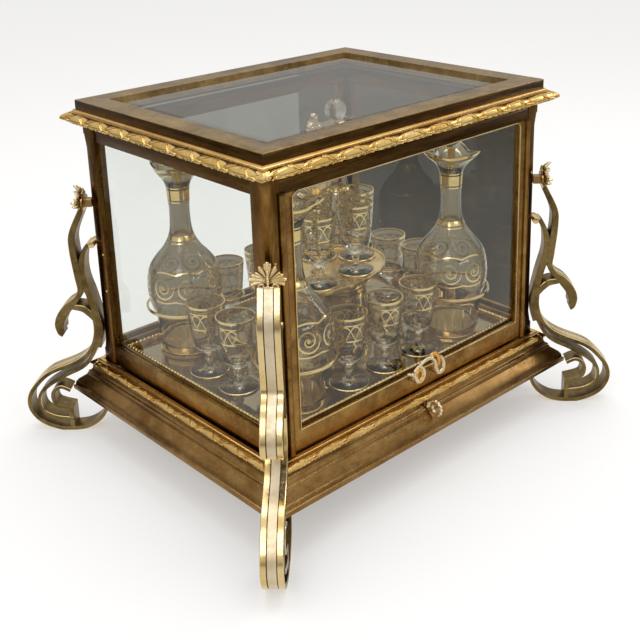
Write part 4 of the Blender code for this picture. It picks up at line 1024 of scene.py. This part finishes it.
goblet = on_the_lathe("goblet", shares_profile(glass_outer, glass_inner, GLASS_RADIUS, GLASS_HEIGHT, 34, 0.375), 28)
map_the_turn(goblet, GLASS_HEIGHT)
coat(goblet, goblet_glass)
spots = [(x, y, FLOOR_LEVEL + GAP) for x, y, _ in LOWER_GLASSES]
spots += [(x, y, PLATFORM_TOP + GAP) for x, y in UPPER_GLASSES]
for number, spot in enumerate(spots, 1):
    copy = twin(goblet, "goblet_%02d" % number, spot, 0.7 * number)
    fit(copy, "carrier", "crystal", "glass_%02d" % number)
bpy.data.objects.remove(goblet)

bottle = on_the_lathe(
    "bottle", shares_profile(decanter_outer, decanter_inner, DECANTER_RADIUS, DECANTER_HEIGHT, 48, 0.03), 48,
)
map_the_turn(bottle, DECANTER_HEIGHT)
for vertex in bottle.data.vertices:
    share = vertex.co.z / DECANTER_HEIGHT
    if share > 0.90:
        grip = min((share - 0.90) / 0.10, 1.0)
        angle = math.atan2(vertex.co.y, vertex.co.x)
        lobe = math.cos(3 * angle)
        wide = 1 + grip * 0.20 * lobe
        vertex.co = (vertex.co.x * wide, vertex.co.y * wide, vertex.co.z - grip * 0.0052 * (0.5 - 0.5 * lobe))
coat(bottle, bottle_glass)
plug = DECANTER_RADIUS * 0.18 - GAP
stopper_profile = [(0, 0.79), (0.8, 0.79), (1.0, 0.86), (0.70, 0.88), (0.55, 0.93), (0.55, 0.985), (0.72, 1.0)]
stopper_profile = [(plug * r, DECANTER_HEIGHT * h) for r, h in stopper_profile]
ball_middle, ball_radius = DECANTER_HEIGHT + 0.0122, 0.0115
for step in range(3, 25):
    angle = -math.pi / 2 + math.pi * step / 24
    stopper_profile.append((max(ball_radius * math.cos(angle), 0.0), ball_middle + ball_radius * math.sin(angle)))
stopper_profile[-1] = (0, ball_middle + ball_radius)
stopper = on_the_lathe("stopper", stopper_profile, 32)
map_the_turn(stopper, DECANTER_HEIGHT)
coat(stopper, stopper_glass)
for number, (x, y) in enumerate(DECANTER_PLACES, 1):
    at = (x, y, SAUCER_TOP + GAP)
    lean = math.radians((70, 40, 100, 20)[number - 1])
    fit(twin(bottle, "bottle_%d" % number, at, lean), "carrier", "crystal", "decanter_%d" % number)
    fit(twin(stopper, "ball_stopper_%d" % number, at, lean), "stopper_%d" % number, "crystal", "stopper_%d" % number)
bpy.data.objects.remove(bottle)
bpy.data.objects.remove(stopper)


# Carrier: holders, pearls, platform, handle

def flat_band(name, centre, inside, outside, start, sweep, low, high, steps):
    """A flat curved band with eased arrises, closed when it goes all the way round."""
    full = sweep > 6.28
    sections = []
    ease = min(outside - inside, high - low) * 0.22
    for step in range(steps + 1):
        angle = start + sweep * step / steps
        c, s = math.cos(angle), math.sin(angle)
        ring = (
            (inside + ease, low), (outside - ease, low), (outside, low + ease), (outside, high - ease),
            (outside - ease, high), (inside + ease, high), (inside, high - ease), (inside, low + ease),
        )
        sections.append([(centre[0] + r * c, centre[1] + r * s, z) for r, z in ring])
    return skin(name, sections, not full, 35)


def holders():
    """Rings round the bottles and forks behind the goblets, on bars and flat posts."""
    ring_low, ring_high = FLOOR_LEVEL + 0.045, FLOOR_LEVEL + 0.048
    bar_low, bar_high = FLOOR_LEVEL + 0.0325, FLOOR_LEVEL + 0.034
    bar_y, bar_x = 0.088 - 0.0156 - 0.00085, 0.120 - 0.0156 - 0.00085
    ring_middle = 0.0371
    row_end = 0.102 - math.sqrt(ring_middle ** 2 - (0.080 - bar_y) ** 2)
    column_end = 0.080 - math.sqrt(ring_middle ** 2 - (0.102 - bar_x) ** 2)
    parts = []

    def bar(name, x, y, half_x, half_y, low, high):
        parts.append(small_block(name, (x - half_x, y - half_y, low), (x + half_x, y + half_y, high), 0.0003))

    foot, head = FLOOR_LEVEL + GAP, ring_high - GAP
    for side in (-1, 1):
        y, x = side * bar_y, side * bar_x
        bar("row bar", 0, y, row_end, 0.0015, bar_low, bar_high)
        bar("column bar", x, 0, 0.0015, column_end, bar_low, bar_high)
        for other in (-1, 1):
            bar("post", other * row_end, y, 0.0011, 0.00225, foot, head)
            bar("post", x, other * column_end, 0.00225, 0.0011, foot, head)
    for x, y in DECANTER_PLACES:
        parts.append(flat_band("ring", (x, y), 0.0362, 0.0380, 0, math.tau, ring_low, ring_high, 64))
    for x, y, (back_x, back_y) in LOWER_GLASSES:
        start = math.atan2(back_y, back_x) - math.pi / 2
        parts.append(flat_band("fork", (x, y), 0.0156, 0.0173, start, math.pi, bar_low + GAP, bar_high + GAP, 24))
    for part in parts:
        coat(part, rack_gold)
    return gather("holders", parts)


fit(holders(), "carrier", "gilt_bronze", "lower_rack")

first_pearl = pearl("pearl", (0, 0, 0), 0.00215, 8, 6)
coat(first_pearl, rack_gold)
pearls = []
edge_x, edge_y, gallery = 0.15005, 0.11375, 0.0876
for sign in (-1, 1):
    for index in range(65):
        pearls.append(twin(first_pearl, "pearl", (-edge_x + index * edge_x / 32, sign * edge_y, gallery)))
    for index in range(1, 49):
        pearls.append(twin(first_pearl, "pearl", (sign * edge_x, -edge_y + index * edge_y * 2 / 49, gallery)))
bpy.data.objects.remove(first_pearl)
fit(gather("gallery_pearls", pearls), "carrier", "gilt_bronze")

oval = []
for inset, z in (
    (0.0010, 0.1513), (0.0002, 0.1517), (0, 0.1528), (0, 0.1554), (0.0004, 0.1558), (0.0016, 0.1558),
    (0.0020, 0.1554), (0.0020, PLATFORM_TOP),
):
    oval.append([
        ((0.076 - inset) * math.cos(math.tau * i / 72), (0.052 - inset) * math.sin(math.tau * i / 72), z)
        for i in range(72)
    ])
platform = skin("platform", oval, True, 35)
shaft = FLOOR_LEVEL + GAP
tall = 0.1513 - shaft
pedestal_shares = (
    (0, 0), (1.0, 0), (1.0, 0.04), (0.8, 0.06), (0.5, 0.12), (0.38, 0.22), (0.36, 0.45), (0.36, 0.66), (0.44, 0.74),
    (0.44, 0.78), (0.38, 0.80), (0.6, 0.9), (0.9, 1.0), (0.9, 1.015), (0, 1.015),
)
pedestal = on_the_lathe("pedestal", [(0.011 * r, shaft + tall * h) for r, h in pedestal_shares], 32)
stand = gather("upper_stand", [platform, pedestal])
coat(stand, rack_gold)
fit(stand, "carrier", "bronze", "upper_platform")

foot = PLATFORM_TOP + GAP
column_height = 0.143
top = foot + column_height
column = [(0, foot)] + [(0.014 * r, foot + column_height * h) for r, h in column_profile] + [(0, top)]
shaft_piece = on_the_lathe("handle shaft", column, 36)
trefoil = []
middle_z = top + 0.44 * 0.020 / 2 - 0.001
steps = 72
for deep, swell in ((-0.0025, 0.86), (-0.0018, 1.0), (0.0018, 1.0), (0.0025, 0.86)):
    ring = []
    for index in range(steps):
        angle = math.pi / 2 + math.tau * index / steps
        reach = (0.44 + 0.28 * (1 + math.cos(3 * (angle - math.pi / 2)))) - (1 - swell) * 0.25
        ring.append((reach * 0.009 * math.cos(angle), deep, middle_z + reach * 0.010 * math.sin(angle)))
    trefoil.append(ring)
finial = skin("trefoil", trefoil, True, 35)
eyes = [
    pearl("eye", (0.0052 * math.cos(a), -0.0026, middle_z + 0.0056 * math.sin(a)), 0.0014)
    for a in (math.pi / 2, math.pi / 2 + math.tau / 3, math.pi / 2 - math.tau / 3)
]
grip = gather("carrying_handle", [shaft_piece, finial] + eyes)
coat(grip, pale_gold)
fit(grip, "carrier", "gilt_bronze", "centre_handle")


# Door: handle, gold sight line; key; screws

def scroll_handle():
    """The whiplash handle on the door's lower rail: swelling wires, a leafy bud and two stand-offs."""
    y = -0.1396

    def spot(out, up, before=y):
        return 0.0245 * out, before, 0.086 + 0.0235 * up

    def along(shares, steps, before=y):
        return [spot(out, up, before) for out, up in flowing(shares, steps)]

    left = along(handle_left, 70)
    right = along(handle_right, 90)

    def swelling(count, thin, thick, end):
        radii = []
        for index in range(count):
            share = index / (count - 1)
            belly = (thick - thin) * math.sin(math.pi * share) ** 0.8
            radii.append(thin + belly + end * share ** 10)
        return radii

    parts = [
        round_bar("left wire", left, swelling(len(left), 0.0011, 0.0019, 0.0007), 0.85),
        round_bar("right wire", right, swelling(len(right), 0.0011, 0.0022, 0.0006), 0.85),
    ]
    for share in (handle_left[3], handle_right[6]):
        parts.append(peg("boss", spot(*share, -0.1353), 0.0019, 0.0092, 20, 0.0004))
        parts.append(pearl("boss bead", spot(*share, -0.1404), 0.0013))
    for part in parts:
        coat(part, pale_gold)
        alone(part)
        bpy.ops.object.shade_smooth_by_angle(angle=math.radians(50))
    crest = along(((0.18, 1.02), (0.42, 1.04), (0.62, 0.88), (0.70, 0.62), (0.66, 0.42)), 20, y - 0.0003)
    bud_radii = [0.0004 + 0.0019 * math.sin(math.pi * index / 20) for index in range(21)]
    bud = round_bar("bud", crest, bud_radii, 0.8)
    coat(bud, bud_gold)
    parts.append(bud)
    x, before, z = spot(-0.36, 0.42, y - 0.0004)
    ring = [
        (x + 0.0036 * math.cos(math.tau * i / 28), before, z + 0.0050 * math.sin(math.tau * i / 28))
        for i in range(28)
    ]
    eye = round_bar("eye ring", ring, [0.0013] * 28, 0.9, ends=False)
    coat(eye, bud_gold)
    parts.append(eye)
    return gather("whiplash_handle", parts)


fit(scroll_handle(), "door", "gilt_bronze", "door_handle")

sight_x, low_z, high_z, turn_r = 0.1410, 0.0940, 0.2970, 0.006
line = [(-sight_x, RAIL_FACE, low_z), (sight_x, RAIL_FACE, low_z)]
for centre_x, start in ((sight_x - turn_r, 0.0), (turn_r - sight_x, math.pi / 2)):
    for step in range(9):
        angle = start + math.pi / 2 * step / 8
        line.append((centre_x + turn_r * math.cos(angle), RAIL_FACE, high_z - turn_r + turn_r * math.sin(angle)))
sight_line = round_bar("door_sight_line", line, [0.00075] * len(line), 1.0, ends=False, sides=6)
coat(sight_line, fillet_gold)
fit(sight_line, "door", "gilt_bronze")


def key_piece():
    """Key: an oval bow set with beads, a moulded collar, a round shank and its bit."""
    level, middle_y = 0.0642, -0.15205
    parts = []
    bow = [
        (0.0, middle_y + 0.0050 * math.cos(math.tau * i / 36), level + 0.0055 * math.sin(math.tau * i / 36))
        for i in range(36)
    ]
    parts.append(round_bar("bow", bow, [0.0018] * 36, 1.0, Vector((1, 0, 0)), ends=False))
    for index in range(9):
        angle = math.pi * (0.28 + 1.44 * index / 8)
        spot = (0.0, middle_y + 0.0059 * math.cos(angle), level + 0.0064 * math.sin(angle))
        parts.append(pearl("bow bead", spot, 0.00175, 8, 6))
    parts.append(pearl("bow tip", (0.0, middle_y - 0.0064, level), 0.0014))
    shank = [
        (0, -0.0235), (0.0016, -0.0235), (0.0016, 0.0), (0.0032, 0.0002), (0.0032, 0.0016),
        (0.0022, 0.0021), (0.0016, 0.0025), (0.0022, 0.0031), (0.0014, 0.0036), (0, 0.0036),
    ]
    turned_shank = on_the_lathe("shank", shank, 24)
    turned_shank.rotation_euler = (math.pi / 2, 0, 0)
    turned_shank.location = (0, -0.1424, level)
    bpy.ops.object.transform_apply(location=True, rotation=True, scale=True)
    parts.append(turned_shank)
    parts.append(small_block("bit", (-0.0008, -0.1262, level - 0.0044), (0.0008, -0.1235, level), 0.0002))
    for part in parts:
        coat(part, pale_gold)
    return gather("lock_key", parts)


fit(key_piece(), "key", "gilt_bronze", "key")

screws = []
for sign in (-1, 1):
    spots = [(0.1664, y, level, 0.0013) for level in (0.187, 0.150) for y in (0.1160, -0.1160)]
    spots += [(0.1600, y, 0.244, 0.0012) for y in (-0.1306, 0.1306)]
    screws += [pearl("screw", (sign * x, y, level), radius) for x, y, level, radius in spots]
for screw in screws:
    coat(screw, fillet_gold)
fit(gather("case_screws", screws), "cabinet", "gilt_bronze")

# Finishes of the solids that stay as they are
finish_of_node = {
    "floor_plate": case_bronze,
    "top_glass": pane, "left_glass": pane, "right_glass": pane, "back_glass": pane, "door_glass": pane,
    "lock_case": case_bronze, "lock_bolt": case_bronze, "lock_keeper": case_bronze,
    "carrier_tray": rack_gold, "mirror_plate": silvered,
}

eased_solid("base_plinth", "moulded_plinth", 0.0005, plinth_bronze, "cabinet", "bronze")
# The top frame takes the paler painted light bronze, and its fascia the darker painted shade bronze.
eased_solid("top_frame", "mitred_top_frame", 0.0006, painted_light_top_bronze, "cabinet", "bronze", is_fascia)
# The upper rails wholly take the darker painted shade bronze.
eased_solid("upper_frame", "upper_rails", 0.0004, painted_shade_rail_bronze, "cabinet", "bronze")
eased_solid("lower_frame", "lower_rails", 0.0004, door_bronze, "cabinet", "bronze")
# The door's top rail, above the parting, takes the darker painted shade bronze.
eased_solid(
    "door_frame", "door_rails", 0.0004, door_bronze, "door", "bronze",
    lambda face: face.center.z > DOOR_TOP_RAIL, DOOR_TOP_RAIL,
)
for corner, _, _ in CORNERS:
    eased_solid("corner_post_" + corner, "hollow_post_" + corner, 0.0004, case_bronze, "cabinet", "bronze")
for name, finish in finish_of_node.items():
    for material_slot in nodes[name].material_slots:
        material_slot.material = finish


# Room: pale floor and walls, soft lamps

def room_floor():
    """Pale floor, dim where it is seen through a pane, but bright to the left of a line on it.

    The line starts under the camera's place and passes the front left post, so it suits that view alone.
    """
    f = Finish("pale floor")
    path = f.node("ShaderNodeLightPath")
    nodes_of = path.socket.node.outputs
    veiled = Wire(f, nodes_of["Transparent Depth"]) > 0.5
    through = Wire(f, nodes_of["Is Transmission Ray"])
    glossy = Wire(f, nodes_of["Is Glossy Ray"])
    split = f.node("ShaderNodeSeparateXYZ", None, {0: f.place()})
    across, back = split, Wire(f, split.socket.node.outputs[1])
    x, y = across - CAMERA_PLACE[0], back - CAMERA_PLACE[1]
    leftward = (x * math.cos(FLOOR_LINE_TURN) - y * math.sin(FLOOR_LINE_TURN)) < 0.0
    sill = leftward * (across < 0.50)
    matt = f.node("ShaderNodeBsdfDiffuse", None, {"Color": (0.94, 0.94, 0.94, 1.0)})
    bright = f.node("ShaderNodeEmission", None, {"Color": (1.0, 1.0, 1.0, 1.0), "Strength": 1.0})
    eye = Wire(f, nodes_of["Is Camera Ray"])
    pale = f.node("ShaderNodeMixShader", None, {0: eye * 0.35, 1: matt, 2: bright})
    # Painted shade: seen through a pane, the floor glows a dim brown for a dark room, a little less dim to the left
    # of the line.
    dusk = f.blend(leftward, (0.040, 0.036, 0.028), (0.20, 0.20, 0.185))
    dim = f.node("ShaderNodeEmission", None, {"Color": dusk, "Strength": 1.0})
    # Painted shade: seen through glassware, the floor glows a dim grey-brown.
    half_dim = f.node("ShaderNodeEmission", None, {"Color": (0.23, 0.210, 0.170, 1.0), "Strength": 1.0})
    # Painted reflection: seen in metal and glass, the floor glows pale near the case and darker farther off.
    far = f.level((across * across + back * back) ** 0.5, 0.55, 1.35)
    sheet = f.blend(far, (0.80, 0.78, 0.74), (0.26, 0.25, 0.235))
    reflected = f.node("ShaderNodeEmission", None, {"Color": sheet, "Strength": 1.0})
    seen = f.node("ShaderNodeMixShader", None, {0: veiled * (1 - sill), 1: pale, 2: dim})
    seen = f.node("ShaderNodeMixShader", None, {0: glossy, 1: seen, 2: reflected})
    return f.surface(f.node("ShaderNodeMixShader", None, {0: through, 1: seen, 2: half_dim}))


alone()
bpy.ops.mesh.primitive_plane_add(size=14, location=(0, 0, 0))
floor = bpy.context.object
floor.name = "pale_floor"
coat(floor, room_floor())

world = bpy.data.worlds.new("room")
bpy.context.scene.world = world
world.use_nodes = True
tree = world.node_tree
tree.nodes.clear()


class RoomFinish(Finish):
    """The room's light, worked like any finish."""

    def __init__(self, tree):
        self.tree = tree


room = RoomFinish(tree)
light = room.node("ShaderNodeLightPath")
sockets = light.socket.node.outputs
seen = Wire(room, sockets["Is Camera Ray"])
veil = Wire(room, sockets["Transparent Depth"]) > 0.5
upward = room.node("ShaderNodeSeparateXYZ", None, {0: room.node("ShaderNodeTexCoord", output="Generated")}, output=2)
sky = room.steps(
    upward, (0.0, (0.24, 0.23, 0.215)), (0.22, (0.62, 0.60, 0.57)), (0.60, (0.80, 0.79, 0.77)),
    (1.0, (1.0, 0.99, 0.97)),
)
# Painted shade: seen through a pane the room is near black, and seen through glassware it is a dim grey-brown.
direct = room.blend(veil, (1.0, 1.0, 1.0), (0.05, 0.045, 0.035))
through = Wire(room, sockets["Is Transmission Ray"])
colour = room.blend(through, room.blend(seen, sky, direct), (0.24, 0.225, 0.19))
background = room.node("ShaderNodeBackground", None, {"Color": colour, "Strength": 1.0})
out = tree.nodes.new("ShaderNodeOutputWorld")
tree.links.new(background.socket, out.inputs["Surface"])


def soft_lamp(name, place, target, size, power):
    lamp = bpy.data.lights.new(name, "AREA")
    lamp.shape = "RECTANGLE"
    lamp.size, lamp.size_y = size
    lamp.energy = power
    holder = bpy.data.objects.new(name, lamp)
    bpy.context.scene.collection.objects.link(holder)
    holder.location = place
    holder.rotation_euler = (Vector(target) - Vector(place)).to_track_quat("-Z", "Y").to_euler()


soft_lamp("left window", (-1.25, -0.75, 1.15), (0, 0, 0.15), (0.5, 0.8), 3.6)
soft_lamp("overhead", (0.1, 0.1, 1.9), (0, 0, 0.1), (1.6, 1.2), 12)
soft_lamp("right strip", (1.2, -0.5, 0.7), (0, 0, 0.15), (0.12, 0.9), 1.6)
soft_lamp("front strip", (0.0, -1.6, 0.55), (0, 0, 0.2), (1.0, 0.12), 1.6)

camera_data = bpy.data.cameras.new("camera")
camera = bpy.data.objects.new("camera", camera_data)
bpy.context.scene.collection.objects.link(camera)
yaw, dip, roll = math.radians(42.46), math.radians(17.33), math.radians(-1.64)
ahead = Vector((math.sin(yaw) * math.cos(dip), math.cos(yaw) * math.cos(dip), -math.sin(dip)))
right = ahead.cross(Vector((0, 0, 1))).normalized()
upright = right.cross(ahead)
right, upright = (
    math.cos(roll) * right + math.sin(roll) * upright, math.cos(roll) * upright - math.sin(roll) * right,
)
camera.matrix_world = Matrix((
    *[(right[i], upright[i], -ahead[i], CAMERA_PLACE[i]) for i in range(3)], (0, 0, 0, 1),
))
camera_data.sensor_width = 36
camera_data.lens = 58.236
camera_data.shift_x = -0.0157
camera_data.shift_y = -0.2203
camera_data.clip_start = 0.01
bpy.context.scene.camera = camera
bpy.context.scene.view_settings.view_transform = "Standard"

bpy.context.view_layer.update()
